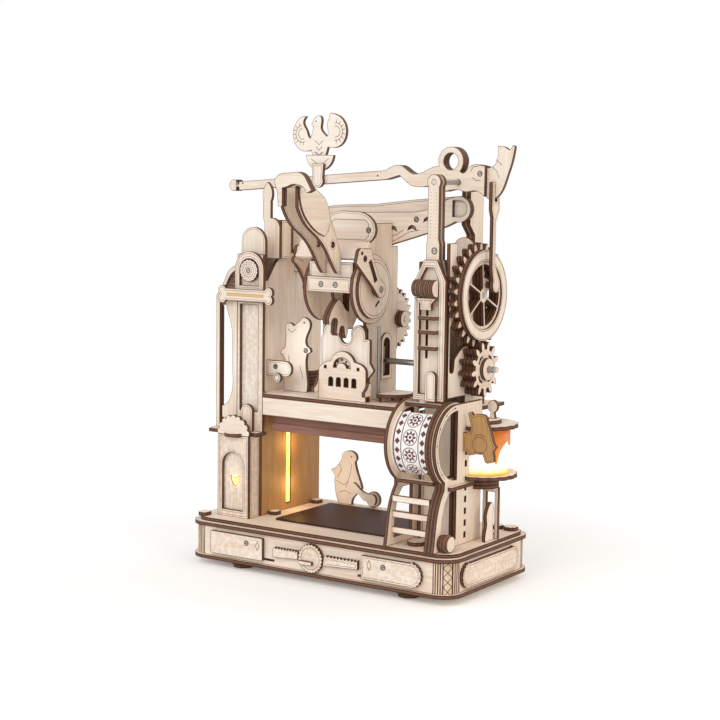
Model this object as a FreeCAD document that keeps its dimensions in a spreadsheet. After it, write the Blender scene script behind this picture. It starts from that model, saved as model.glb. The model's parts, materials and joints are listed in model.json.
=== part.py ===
import FreeCAD, Part
import math
import os
from types import SimpleNamespace

# A toy model of an old hand printing press, cut from birch plywood. X runs to
# the right, Y to the back and Z up, in millimetres. The origin lies under the
# middle of the base, on the plane of the feet.

sizes = {
    "ply": 3.0,
    "card": 1.5,
    "running_gap": 0.05,
    "side_gap": 0.3,
    "foot_height": 6.0,
    "foot_radius": 10.0,
    "foot_spacing_x": 164.0,
    "foot_spacing_y": 100.0,
    "base_length": 260.0,
    "base_depth": 134.0,
    "base_corner": 17.5,
    "base_lip": 2.5,
    "base_wall_height": 25.0,
    "deck_inset": 5.0,
    "medallion_radius": 12.0,
    "barrel_ply": 2.3,
    "bay_left": 79.0,
    "bay_right": 71.0,
    "bay_height": 103.0,
    "table_front": 36.0,
    "table_back": 55.0,
    "tower_width": 28.0,
    "tower_height": 222.0,
    "tower_back": 30.0,
    "platen_height": 12.4,
    "platen_drop": 16.0,
    "platen_side_gap": 7.0,
    "lift_rod_radius": 1.5,
    "lift_rod_length": 80.0,
    "kiosk_height": 70.0,
    "kiosk_depth": 12.0,
    "ring_radius": 33.5,
    "ring_window": 26.0,
    "ring_height": 80.5,
    "ring_reach": 31.5,
    "ring_width": 34.0,
    "band_radius": 28.0,
    "band_thick": 0.5,
    "plate_x": 17.0,
    "plate_height": 144.0,
    "shaft_radius": 2.5,
    "shaft_y": 7.0,
    "shaft_height": 31.0,
    "gear_module": 3.0,
    "gear_teeth": 26.0,
    "pinion_teeth": 13.0,
    "wheel_radius": 36.1,
    "wheel_window": 24.3,
    "crank_throw": 9.7,
    "inner_module": 2.0,
    "inner_teeth": 24.0,
    "inner_pinion_teeth": 15.0,
    "inner_mesh_angle": 58.8,
    "drum_radius": 28.0,
    "drum_y": 19.5,
    "drum_height": 91.5,
    "drum_axle_radius": 2.0,
    "drum_left": 25.0,
    "lever_reach": 82.5,
    "beam_pin_radius": 2.0,
    "beam_pin_x": 88.0,
    "beam_pin_height": 284.0,
    "beam_y": 4.0,
    "beam_left": 229.5,
    "beam_depth": 7.5,
    "rod_x": 117.0,
    "jar_radius": 24.0,
    "jar_wall": 1.5,
    "jar_height": 37.0,
    "jar_level": 51.0,
    "annex_x": 112.0,
    "cart_wheel_radius": 7.0,
    "cart_pin_radius": 1.2,
}

doc = FreeCAD.newDocument("wooden_press")
sheet = doc.addObject("Spreadsheet::Sheet", "sizes")
for row, alias in enumerate(sizes, start=1):
    sheet.set("A%d" % row, alias)
    sheet.set("B%d" % row, str(sizes[alias]))
    sheet.setAlias("B%d" % row, alias)
doc.recompute()
k = SimpleNamespace(**sizes)
ply = k.ply
nodes = {}


def point(u, v):
    return FreeCAD.Vector(u, v, 0)


# Closed outlines. Each is a list of sketch edges in the plane of its plate.

def path(*steps):
    # A step of two numbers is a corner, one of four an arc through its first point, and a list a smooth line.
    start = here = point(*steps[0])
    edges = []
    for step in steps[1:]:
        if isinstance(step, list):
            spots = [here] + [point(*spot) for spot in step]
            edge = Part.BSplineCurve()
            edge.interpolate(spots)
            end = spots[-1]
        else:
            end = point(*step[-2:])
            edge = Part.LineSegment(here, end)
            if len(step) == 4:
                edge = Part.Arc(here, point(*step[:2]), end)
        edges.append(edge)
        here = end
    if here.distanceToPoint(start) > 1e-6:
        edges.append(Part.LineSegment(here, start))
    return edges


def moved(step, u, v):
    if isinstance(step, list):
        return [moved(spot, u, v) for spot in step]
    return tuple(number + (u, v)[index % 2] for index, number in enumerate(step))


def path_from(u, v, *steps):
    # The same kind of outline, with its numbers counted from the corner (u, v).
    return path(*[moved(step, u, v) for step in steps])


def disc(u, v, radius):
    return [Part.Circle(point(u, v), FreeCAD.Vector(0, 0, 1), radius)]


def box(u0, v0, u1, v1, corner=0):
    if not corner:
        return path((u0, v0), (u1, v0), (u1, v1), (u0, v1))
    near = corner * (1 - math.sqrt(0.5))
    return path(
        (u0 + corner, v0), (u1 - corner, v0), (u1 - near, v0 + near, u1, v0 + corner),
        (u1, v1 - corner), (u1 - near, v1 - near, u1 - corner, v1),
        (u0 + corner, v1), (u0 + near, v1 - near, u0, v1 - corner),
        (u0, v0 + corner), (u0 + near, v0 + near, u0 + corner, v0))


def arch(u0, u1, v0, v1):
    # A doorway shape whose round head touches v1.
    half = (u1 - u0) / 2
    return path((u0, v0), (u1, v0), (u1, v1 - half), (u0 + half, v1, u0, v1 - half))


def polar(u, v, radius, degrees):
    turn = math.radians(degrees)
    return u + radius * math.cos(turn), v + radius * math.sin(turn)


def lobes(u, v, radius, count, depth, first, sweep):
    step = sweep / count
    steps = [polar(u, v, radius, first)]
    for number in range(count):
        middle = polar(u, v, radius + depth, first + (number + 0.5) * step)
        steps.append(middle + polar(u, v, radius, first + (number + 1) * step))
    return steps


def scallops(u, v, radius, count, depth, first=0.0, sweep=360.0):
    # Round lobes along an arc of a circle. Under a full turn the ends are joined by a line.
    return path(*lobes(u, v, radius, count, depth, first, sweep))


def involute(pitch_radius, radius, pressure):
    base = pitch_radius * math.cos(pressure)
    angle = math.acos(min(1.0, base / radius))
    return math.tan(angle) - angle


def gear(u, v, module, teeth, phase):
    # An involute gear with a tooth centred on the angle phase.
    pressure = math.radians(22)
    backlash = 0.12 * module
    pitch = module * teeth / 2
    root = pitch - 1.15 * module
    tip = pitch + 0.85 * module
    base = pitch * math.cos(pressure)
    low = max(root + 0.1 * module, base)
    half = math.pi / (2 * teeth) - backlash / (2 * pitch)
    radii = [low + (tip - low) * share for share in (0, 0.35, 0.7, 1)]
    angles = [half + involute(pitch, pitch, pressure) - involute(pitch, r, pressure) for r in radii]
    flank = [(root, angles[0])] + list(zip(radii, angles))
    corners = []
    for tooth in range(int(teeth)):
        middle = phase + 360.0 * tooth / teeth
        corners += [polar(u, v, r, middle - math.degrees(a)) for r, a in flank]
        corners += [polar(u, v, r, middle + math.degrees(a)) for r, a in reversed(flank)]
    return path(*corners)


# Plates. A front plate faces along Y, a side plate along X, and a flat plate along Z.

planes = {"front": ("XZ_Plane", "y"), "side": ("YZ_Plane", "x"), "flat": ("XY_Plane", "z")}


def plate(name, facing, at, loops, thick="sizes.ply"):
    # at is the lowest coordinate of the plate across its faces.
    role, axis = planes[facing]
    body = doc.addObject("PartDesign::Body", name)
    body.AllowCompound = True
    sketch = body.newObject("Sketcher::SketchObject", name + "_outline")
    origin = [plane for plane in body.Origin.OriginFeatures if plane.Role == role][0]
    sketch.AttachmentSupport = [(origin, "")]
    sketch.MapMode = "FlatFace"
    for loop in loops:
        sketch.addGeometry(loop, False)
    pad = body.newObject("PartDesign::Pad", name + "_pad")
    pad.Profile = sketch
    pad.setExpression("Length", thick)
    sketch.Visibility = False
    body.Tip = pad
    place = {"x": 0.0, "y": 0.0, "z": 0.0}
    place[axis] = at
    if facing == "front":
        pad.Reversed = True
    body.Placement = FreeCAD.Placement(
        FreeCAD.Vector(place["x"], place["y"], place["z"]), FreeCAD.Rotation())
    body.Label = name
    nodes[name] = body
    return body


def group(name, *parts):
    # Separate pieces that share one node. A part is given as an object or by its label.
    parts = [nodes[part] if isinstance(part, str) else part for part in parts]
    for part in parts:
        nodes.pop(part.Label)
    whole = doc.addObject("Part::Compound", name + "_group")
    whole.Links = list(parts)
    whole.Label = name
    nodes[name] = whole
    return whole


def rod(name, facing, at, u, v, radius, length, bore=None):
    # A turned steel pin or a round boss, as a cylinder across its plane.
    angle = {"front": (1, 0, 0, -90), "side": (0, 1, 0, 90), "flat": (0, 0, 1, 0)}[facing]
    spot = {"front": (u, at, v), "side": (at, u, v), "flat": (u, v, at)}[facing]
    turn = FreeCAD.Rotation(FreeCAD.Vector(*angle[:3]), angle[3])
    solid = doc.addObject("Part::Cylinder", name + "_rod")
    solid.setExpression("Radius", radius)
    solid.setExpression("Height", length)
    solid.Placement = FreeCAD.Placement(FreeCAD.Vector(*spot), turn)
    if bore:
        hole = doc.addObject("Part::Cylinder", name + "_bore")
        hole.setExpression("Radius", bore)
        hole.setExpression("Height", length)
        hole.Placement = solid.Placement
        ring = doc.addObject("Part::Cut", name + "_ring")
        ring.Base = solid
        ring.Tool = hole
        solid = ring
    solid.Label = name
    nodes[name] = solid
    return solid


# Levels and faces that several parts share.
floor_z = k.foot_height
wall_z = floor_z + ply
lid_z = wall_z + k.base_wall_height
deck_z = lid_z + 2 * ply
table_z = deck_z + k.bay_height
shelf_z = table_z + ply
tower_z = deck_z + k.tower_height
half_length = k.base_length / 2
half_depth = k.base_depth / 2
front_y = -half_depth + k.base_lip
left_face = -k.bay_left
right_face = k.bay_right
left_edge = left_face - ply - k.tower_width + 8
tower_front = -k.table_front
kiosk_front = tower_front - k.kiosk_depth

# The base: feet, floor, walls with bent corners, lid and deck.
foot_spots = [(sx * k.foot_spacing_x / 2, sy * k.foot_spacing_y / 2) for sx in (-1, 1) for sy in (-1, 1)]
group(
    "base_feet",
    plate("foot_pads", "flat", 0, [disc(u, v, k.foot_radius - 1.5) for u, v in foot_spots],
          "sizes.foot_height / 2"),
    plate("foot_discs", "flat", k.foot_height / 2, [disc(u, v, k.foot_radius) for u, v in foot_spots],
          "sizes.foot_height / 2"))
outline = box(-half_length, -half_depth, half_length, half_depth, k.base_corner)
plate("base_floor", "flat", floor_z, [outline])
wall_x = half_length - k.base_lip
wall_y = half_depth - k.base_lip
corner = k.base_corner - k.base_lip
plate(
    "base_walls", "flat", wall_z,
    [box(-wall_x + corner, side * wall_y, wall_x - corner, side * (wall_y - ply)) for side in (-1, 1)]
    + [box(side * wall_x, -wall_y + corner, side * (wall_x - ply), wall_y - corner) for side in (-1, 1)],
    "sizes.base_wall_height")


def quarter_ring(u, v, outer, inner, first):
    return path(
        polar(u, v, inner, first), polar(u, v, outer, first),
        polar(u, v, outer, first + 45) + polar(u, v, outer, first + 90),
        polar(u, v, inner, first + 90), polar(u, v, inner, first + 45) + polar(u, v, inner, first))


corner_spots = [(1, 1, 0), (-1, 1, 90), (-1, -1, 180), (1, -1, 270)]
plate(
    "base_corners", "flat", wall_z,
    [quarter_ring(sx * (wall_x - corner), sy * (wall_y - corner), corner, corner - ply, first)
     for sx, sy, first in corner_spots],
    "sizes.base_wall_height")
plate("base_lid", "flat", lid_z, [box(-half_length, -half_depth, half_length, half_depth, k.base_corner)])
deck_x = half_length - k.deck_inset + 2
deck_y = half_depth - k.deck_inset
plate("deck_plate", "flat", lid_z + ply, [box(-deck_x, -deck_y, deck_x, deck_y, k.base_corner - 2)])

# Ornaments on the base: a gear-edged medallion with a tongue, ribbons and end plates.
wall_mid = wall_z + k.base_wall_height / 2
medallion_x = -1.2
trim_y = front_y - ply
group(
    "base_medallion",
    plate("medallion_disc", "front", trim_y,
          [scallops(medallion_x, wall_mid - 0.4, k.medallion_radius - 1, 24, 1)]),
    plate("medallion_tongue", "front", trim_y - ply, [box(-11, wall_mid - 5.5, 2, wall_mid - 2.5, 1)]))


def end_plate(u0, u1, v, half, left_lobes=0):
    # A plate whose right end, and left end where asked, is round with small lobes.
    steps = [(u0, v - half)] if not left_lobes else []
    steps += lobes(u1 - half, v, half, 9, 0.8, -90, 180)
    if left_lobes:
        return path(*steps, polar(u0 + half, v, half, 90), *lobes(u0 + half, v, half, 9, 0.8, 90, 180)[1:])
    return path(*steps, (u0, v + half))


def ribbon(u0, u1, v, half, teeth):
    pitch = (u1 - u0) / teeth
    steps = [(u0, v - half), (u1, v - half + 1.5)]
    for number in range(teeth):
        right = u1 - number * pitch
        steps += [(right, v + half), (right - pitch * 0.7, v + half - 1.5)]
    return path(*steps)


gap_from_medallion = k.medallion_radius + 0.4
plate(
    "base_front_trim", "front", trim_y,
    [ribbon(-39.5, medallion_x - gap_from_medallion, wall_mid, 4.5, 9),
     ribbon(medallion_x + gap_from_medallion, 44.5, wall_mid, 4.5, 10),
     end_plate(48, 103, wall_mid, 9.5),
     box(-104, wall_mid - 9.5, -49.5, wall_mid + 9.5, 1)])
plate("base_side_trim", "side", wall_x, [end_plate(-49, 40, wall_mid, 9.5, True)])

# The deck, with its bed for the paper, its trims and what stands on it.
bed_front = -k.table_front
plate("bed_plate", "flat", deck_z, [box(left_face + 19, bed_front, right_face - 9, k.table_back - 9, 2)],
      "sizes.card")
plate(
    "deck_trims", "flat", deck_z,
    [scallops(118, 50, 5, 8, 1), scallops(106, 49, 4, 8, 1), scallops(84, -43.5, 6.5, 8, 0.8),
     box(-124, -60, -116, -50, 2), box(-78.7, -22, -70, -12, 3),
     box(-78.7, 40, -70, 50, 3)])
barrel_z = deck_z + 7


def barrel_disc(name, x, radius):
    return plate(name, "side", k.annex_x + x, [disc(-53, barrel_z, radius)], "sizes.barrel_ply")


group("barrel_ornament",
      *[barrel_disc("barrel_disc_%d" % n, (n - 1) * k.barrel_ply, radius)
        for n, radius in enumerate((6.3, 7, 7, 6.3), 1)])

# The left kiosk in front of the left tower.
kiosk_left = left_face - 33
kiosk_top = deck_z + k.kiosk_height
kiosk_mid = (kiosk_left + left_face) / 2
plate("kiosk_front", "front", kiosk_front,
      [box(kiosk_left, deck_z, left_face - 0.6, kiosk_top),
       arch(kiosk_left + 5, left_face - 6, deck_z + 6, kiosk_top - 14.5)])
glow = (kiosk_mid, deck_z + 33)
plate("kiosk_panel", "front", kiosk_front + ply,
      [box(kiosk_left + ply, deck_z, left_face - 3.6, kiosk_top),
       path_from(*glow, (0, -6), [(3.2, -3), (4, 1.8), (2, 0.6), (0, 6)], [(-2, 0.6), (-4, 1.8),
       (-3.2, -3), (0, -6)])])
group(
    "kiosk_sides",
    plate("kiosk_side_left", "side", kiosk_left,
          [box(kiosk_front + ply, deck_z, tower_front + ply, kiosk_top)]),
    plate("kiosk_side_right", "side", left_face - 3.6,
          [box(kiosk_front + ply, deck_z, tower_front + ply, kiosk_top)]))
plate("kiosk_back", "front", tower_front + ply, [box(kiosk_left, deck_z, left_face, kiosk_top)])
plate("kiosk_shelf", "flat", kiosk_top,
      [path((-128, tower_front), (-128, -27), (left_face - ply, -27),
      (left_face - ply, tower_front + 2 * ply),
            (left_face + 5, tower_front + 2 * ply), (left_face + 5, -44), (-125, -44))])
group(
    "kiosk_gable",
    plate("gable_fan", "front", kiosk_front,
          [scallops(kiosk_mid, kiosk_top, 15.6, 9, 1.6, 0, 180)]),
    plate("gable_ledge", "flat", kiosk_top - 1,
          [path((kiosk_mid - 9, kiosk_front), (kiosk_mid, kiosk_front - 6, kiosk_mid + 9, kiosk_front))]),
    plate("gable_arch", "front", tower_front - ply,
          [arch(left_face - 15.5, left_face - 3.5, kiosk_top + ply, kiosk_top + 26)]))

# The left tower: walls, frame, recessed panel, arched head, cross bar and finial.
cross_y = 15.0
cross_low = 246.0
plate(
    "left_inner_wall", "side", left_face - ply,
    [path((-30, deck_z), (k.table_back, deck_z), (k.table_back, tower_z), (cross_y + 2 * ply, tower_z),
          (cross_y + 2 * ply, cross_low), (cross_y, cross_low), (cross_y, tower_z), (0, tower_z),
          (-11, tower_z - 7), (-23, tower_z - 22), (-30, tower_z - 22)),
     box(5, deck_z + 5, 12, table_z - 15, 3)])
plate("left_outer_wall", "side", left_edge,
      [path((-30, kiosk_top + ply), (-27, kiosk_top + ply), (-27, deck_z), (k.tower_back, deck_z),
            (k.tower_back, tower_z), (0, tower_z), (-11, tower_z - 7), (-23, tower_z - 22),
            (-30, tower_z - 22))])
plate("left_back_wall", "front", k.tower_back,
      [box(left_edge, deck_z, left_face - ply, tower_z)])
frame_left = left_edge + 1
frame_right = left_face + 5
plate("left_tower_frame", "front", tower_front,
      [box(frame_left, kiosk_top + ply, frame_right, tower_z),
       box(frame_left + 3, kiosk_top + 20, frame_right - 5, tower_z - 42, 1)])
plate("left_tower_panel", "front", tower_front + ply,
      [box(left_edge, kiosk_top + ply, left_face, tower_z)])
arch_mid = (frame_left + frame_right) / 2 + 1
plate("left_arch_head", "front", tower_front - ply,
      [arch(arch_mid - 15, arch_mid + 15, tower_z - 40, tower_z + 2.5),
       arch(arch_mid - 10, arch_mid + 10, tower_z - 26, tower_z - 3.5)])
plate("left_rosette", "front", tower_front - ply, [scallops(arch_mid - 0.5, tower_z - 13.5, 8.7, 16, 0.6)])
bar_z = tower_z - 34
plate("left_cross_bar", "front", tower_front - 2 * ply,
      [path((-109, bar_z - 5), (-68, bar_z - 5), (-61.5, bar_z - 6.5, -61.5, bar_z),
      (-61.5, bar_z + 6.5, -68, bar_z + 5),
            (-109, bar_z + 5), (-115.5, bar_z + 6.5, -115.5, bar_z), (-115.5, bar_z - 6.5, -109, bar_z - 5))])
plate("left_leaf", "front", tower_front,
      [path_from(frame_left, kiosk_top, (0, 118), (-13, 118), [(-12, 108), (-8, 96), (-5.5, 82)], (-5, 52),
                 [(-6, 34), (-10, 26), (-16, 22)], (-16, 12), (0, 12))])
plate("left_rear_panel", "front", tower_front + 2 * ply,
      [arch(left_edge + 0.5, left_face + 2.5, tower_z - 22, tower_z + 22.5)])
group(
    "left_finial",
    plate("finial_front", "front", -13.5,
          [path((-90, tower_z - 4), (-74, tower_z - 4), (-74, tower_z + 22),
          (-77, tower_z + 28, -83.5, tower_z + 30),
                (-83.5, tower_z + 44), (-82, tower_z + 50, -87, tower_z + 60),
                (-92, tower_z + 50, -91.5, tower_z + 44), (-91.5, tower_z + 30), (-90, tower_z + 26))]),
    plate("finial_side", "side", -77, [box(-10.5, tower_z - 4, 3, tower_z + 28)]),
    plate("finial_back", "front", 3, [box(-90, tower_z, -74, tower_z + 28)]))
plate("left_roof", "flat", tower_z, [box(left_edge, -10.5, -77, 3),
    box(left_edge, 3 + ply, left_face, cross_y)])
post_left = left_edge - 24
bay_outside = [(-6, 251), (-12, 246), (-16, 238), (-20, 231), (-24, 226)]
bay_inside = [(-17.5, 228.5), (-13.5, 235), (-9.3, 242.8), (-4.5, 247), (0, 249)]
post_right = post_left + 4
skin_low = tower_z - 45


def bay_curve(points, inset=0.0):
    return [(left_edge + x + inset, z - inset + tower_z - 262) for x, z in points]


plate("left_side_arch", "front", tower_front + ply,
      [path((left_edge, tower_z - 8), bay_curve(bay_outside), (post_left, kiosk_top + ply),
            (post_right, kiosk_top + ply), (post_right, tower_z - 38), bay_curve(bay_inside))])
plate("left_arch_skin", "front", tower_front + 2 * ply,
      [path((left_edge, tower_z - 8), bay_curve(bay_outside), (post_left, skin_low),
      (post_left + 2, skin_low),
            (post_left + 2, tower_z - 37), bay_curve(bay_outside[::-1][1:], 1.5), (left_edge, tower_z - 10))],
      "9 * sizes.ply")
plate("left_post", "front", tower_front + 2 * ply, [box(post_left, kiosk_top + ply, post_right, skin_low)])

# The table over the press bay, with its front board.
ring_left = right_face - 5
ring_y = -k.ring_reach
ring_z = deck_z + k.ring_height
rod_hole = k.lift_rod_radius + k.running_gap
rod_spots = [(-28, -12), (26, -12)]
plate("table_plate", "flat", table_z,
      [path((left_face, k.table_back), (left_face, tower_front + 2 * ply),
      (frame_right, tower_front + 2 * ply),
            (frame_right, tower_front), (ring_left, tower_front), (ring_left, -3), (right_face + ply, -3),
            (right_face + ply, k.table_back))]
      + [disc(u, v, rod_hole) for u, v in rod_spots])
plate("table_fascia", "front", tower_front, [box(frame_right, table_z - 15, ring_left, table_z)])
plate("right_inner_wall", "side", right_face, [box(-21, deck_z, k.table_back - 3, table_z)])

# The platen that presses on the paper, on two steel lifting rods.
platen_top = table_z - k.platen_drop
platen_left = left_face + k.platen_side_gap + 2
platen_right = right_face - k.platen_side_gap
platen_low = platen_top - k.platen_height
half_platen = "sizes.platen_height / 2"
plate("platen_lower", "flat", platen_low, [box(platen_left, -30, platen_right, 50, 2)], half_platen)
plate("platen_upper", "flat", platen_low + k.platen_height / 2,
      [box(platen_left + 1.5, -28.5, platen_right - 1.5, 48.5, 2)], half_platen)
group("lift_rods", *[rod("lift_rod_%d" % n, "flat", platen_top, u, v, "sizes.lift_rod_radius",
                         "sizes.lift_rod_length") for n, (u, v) in enumerate(rod_spots, 1)])

# The arcade in front of the centre plate, its brackets and the fan shelf.
house_y = -28.5
house_mid = 1.5
plate("house_front", "front", house_y,
      [path_from(
          house_mid, shelf_z,
          (-23.5, 0), (23, 0), (23, 25), [(21.5, 28), (16.5, 31), (11.5, 32)],
          (1.5, 40, -11.5, 32), [(-16.5, 30.5), (-21.5, 27.5), (-23.5, 24)]),
       path_from(house_mid, shelf_z, (-9, 26.5), (-6, 26.5), (-1, 30.5, 4, 26.5), (8, 26.5),
       (-0.5, 35, -9, 26.5))]
      + [box(house_mid + x - 1.1, shelf_z + 25.3, house_mid + x + 1.1, shelf_z + 27.5) for x in (-17, 15.3)]
      + [arch(house_mid + 7.6 * n - 2.2, house_mid + 7.6 * n + 2.2, shelf_z + 11, shelf_z + 18.5)
         for n in (-1.5, -0.5, 0.5, 1.5)])
plate("house_back", "front", house_y + ply,
      [path_from(
          house_mid, shelf_z,
          (-23.5, 0), (23, 0), (23, 19), (28.5, 26), (24.5, 32), (24.5, 50), (23.5, 51), (20, 51),
          [(20, 54), (18.5, 59), (13.5, 62), (7.5, 59), (6.5, 52)], (1, 46.5, -4.5, 52),
          [(-9.5, 59), (-15.5, 61.5), (-21.5, 54)], (-23.5, 50))])
bracket = path((-35, shelf_z + 5), (-25.5, shelf_z + 5), (-25.5, shelf_z + 16), (-29, shelf_z + 16),
    [(-31, shelf_z + 12), (-35, shelf_z + 9)])
group(
    "house_brackets",
    plate("house_bracket_left", "side", house_mid - 26.5, [bracket]),
    plate("house_bracket_right", "side", house_mid + 23.5, [bracket]))
group(
    "fan_shelf",
    plate("fan_top", "flat", shelf_z + 4, [path((30, -21), (52, -5, 30, 11))]),
    plate("fan_legs", "flat", shelf_z, [box(31, -19, 34, -9), box(31, -1, 34, 9), box(44, -8, 47, -2)], "4"))

# A bear beside a pot, and the hinged plate in front of them.
bear_x = -60.0
plate("upper_bear", "front", -9,
      [path_from(
          bear_x, shelf_z,
          (-11, 0), [(-11.5, 14), (-10.5, 26)], (-13, 31), (-15.5, 31.5), (-14, 35), (-11, 36.5),
          [(-10, 44), (-10.5, 54)], [(-8, 58), (-4, 57.5), (-1.5, 55.5)], [(1, 58), (5, 61),
          (8, 63.5), (11, 63), (14, 61), (15, 58)], [(14, 53), (12, 49), (10.5, 44), (11.5, 40),
          (15, 38)], (16, 34.5), (12, 32.5), [(11, 24), (12.5, 12), (12, 0)])])
pot_rings = [(8.2, 0), (6.6, 1), (7.6, 2), (8.6, 3), (9.2, 4), (9.2, 5)]
group("honey_pot", *[plate("pot_ring_%d" % n, "flat", shelf_z + ply * n, [disc(-56, 4, radius)])
                     for radius, n in pot_rings])
group(
    "upper_link",
    plate("link_bar", "front", -24,
          [path((left_face, shelf_z + 14), (-60, shelf_z + 14), (-53, shelf_z + 20.5, -60, shelf_z + 27),
                (left_face, shelf_z + 27))]),
    plate("link_knob", "front", -27, [disc(-66, shelf_z + 13, 4)]))

# A bear in the bay with a small cart.
cart = (-21.5, deck_z + k.cart_wheel_radius + k.side_gap)
cart_y = 52.0
plate("cavity_bear", "front", cart_y + ply,
      [path_from(
          cart[0], deck_z,
          (-36, 0), [(-38.5, 6), (-40, 12), (-40.8, 20), (-40.5, 24)], (-42.5, 27), (-45, 29.3),
          (-39.5, 32), [(-36, 36), (-33.5, 40), (-32.8, 45)], [(-28.5, 47.5), (-23.5, 48),
          (-19, 46), (-17.5, 40.5)], (-19, 38.5), [(-17.5, 32), (-14, 23), (-11.5, 16)],
          [(-15.5, 11.5), (-20.5, 6.5), (-22, 0)])])
plate("cart_frame", "front", cart_y,
      [path_from(
          *cart,
          (-4.5, -1.7), (0, -5, 4.5, -0.8), (3, 4.2, -1.5, 5), [(-6.5, 5.7), (-11.5, 8.2),
          (-15.5, 11.7), (-19.5, 13.7)], (-20.5, 9.7), [(-15.5, 5.2), (-10.5, 1.2), (-7.5, -1.3)])])
rod("cart_pin", "front", cart_y + ply, *cart, "sizes.cart_pin_radius", "2 * sizes.ply")
plate("cart_wheel", "front", cart_y + ply + k.side_gap,
      [disc(*cart, k.cart_wheel_radius), disc(*cart, k.cart_pin_radius + k.running_gap)])

# The centre plate, its shaft hole, the crosshead behind it and the blank sign in front.
plate_x = k.plate_x
shaft_z = shelf_z + k.shaft_height
plate_top = shelf_z + k.plate_height
centre = k.inner_module * (k.inner_teeth + k.inner_pinion_teeth) / 2
inner_y, inner_z = polar(k.shaft_y, shaft_z, centre, k.inner_mesh_angle)
drum_y = -k.drum_y
drum_z = shelf_z + k.drum_height
inner_bore = k.drum_axle_radius + k.running_gap
plate("centre_board", "side", plate_x,
      [path((-19, shelf_z), (24, shelf_z), (24, inner_z - 7), (inner_y + 7, inner_z, 24, inner_z + 7),
            (24, cross_low + 25), (cross_y, cross_low + 25), (cross_y, plate_top),
            (-22.5, plate_top), (-22.5, shelf_z + 62), (-19, shelf_z + 58)),
       arch(k.shaft_y - 5, k.shaft_y + 4.5, shaft_z - 12, shaft_z + 19),
       disc(inner_y, inner_z, inner_bore),
       disc(drum_y, drum_z, k.drum_axle_radius)])
plate("shaft_border", "side", plate_x + ply,
      [arch(k.shaft_y - 8, k.shaft_y + 7.5, shaft_z - 15, shaft_z + 23),
       arch(k.shaft_y - 5, k.shaft_y + 4.5, shaft_z - 12, shaft_z + 19)], "sizes.card")
group("centre_plate", "centre_board", "shaft_border")
cross_under = [(-64, 0), (-30, 12.5, 12, 24), (55, 37), (70, 42), (80, 46.5)]
plate("crosshead_back", "front", cross_y + ply,
      [path_from(
          0, cross_low,
          (-88, 0), *cross_under,
          (93.5, 57, 82, 67), (40, 63.5), (0, 59), [(-16, 58.6), (-30, 58), (-46, 56.5),
          (-62, 52)], (-75, 45, -88, 39))])
plate("crosshead_front", "front", cross_y,
      [path_from(
          0, cross_low,
          (-88, 0), *cross_under,
          (93.5, 57, 82, 67), [(70, 63.5), (55, 57), (40, 53.5)], (0, 52.5), [(-16, 52), (-30, 51),
          (-46, 48.5), (-62, 44)], (-75, 38, -88, 34)),
       path_from(0, cross_low, (77, 50.5), (83, 50.5), (90, 57, 83, 63.5), (77, 63.5))]
      + [path_from(x, cross_low + z, (-4, -1.5), (0, 2.5, 4, -1.5), (0, 0, -4, -1.5))
         for x, z in ((20, 39), (39, 40), (54, 47))])
group("crosshead", "crosshead_back", "crosshead_front")
sign_z = drum_z + k.drum_radius + 4.5
plate("sign_board", "front", -22.5 - ply,
      [path_from(
          7, sign_z,
          (-10, 0.5), (3, 0), [(10, 1), (17, 5), (21, 9), (22.8, 17)], (22, 20), [(18, 25),
          (13, 28), (5, 29.5)], (-10, 30), [(-16, 28.8), (-22, 26), (-27, 20)], (-27.8, 17),
          [(-26, 9), (-21, 4), (-10, 0.5)])])

# The right tower on the print ring and the annex.
tower_left = right_face + ply
tower_right = tower_left + k.tower_width
ring_top = ring_z + k.ring_radius
outer_wall = tower_right - ply
shaft_hole = k.shaft_radius + k.running_gap
gear_centre = k.gear_module * (k.gear_teeth + k.pinion_teeth) / 2
gear_z = shaft_z + gear_centre
step_z = ring_top + 2
plate("right_tower_frame", "front", tower_front,
      [path((tower_left, ring_top), (tower_right, ring_top), (tower_right, tower_z - 14),
            (tower_right - 8, tower_z + 2), (tower_left + 8, tower_z + 2), (tower_left, tower_z - 14)),
       path((tower_left + 4.5, ring_top + 5), (tower_right - 6, ring_top + 5),
       (tower_right - 6, tower_z - 14),
            (tower_right - 11, tower_z - 4), (tower_left + 10, tower_z - 4),
            (tower_left + 4.5, tower_z - 14))])
pin_x = k.beam_pin_x
pin_z = deck_z + k.beam_pin_height


def neck(name, at):
    plate(name, "front", at,
          [path((tower_left + ply, ring_top + 2), (outer_wall, ring_top + 2), (outer_wall, tower_z - 16),
                (outer_wall - 4, tower_z + 2), (pin_x + 6, tower_z + 2), (pin_x + 6, tower_z + 14),
                (pin_x + 5, tower_z + 18), (pin_x + 5, pin_z - 3.4),
                (pin_x, pin_z + 6, pin_x - 5, pin_z - 3.4),
                (pin_x - 5, tower_z + 18), (pin_x - 6, tower_z + 14), (pin_x - 6, tower_z + 2),
                (tower_left + 7, tower_z + 2), (tower_left + ply, tower_z - 16)),
           disc(pin_x, pin_z, k.beam_pin_radius),
           box(pin_x - 4.8, shelf_z + 41, pin_x - 3.2, tower_z - 30, 0.7)])


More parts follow.
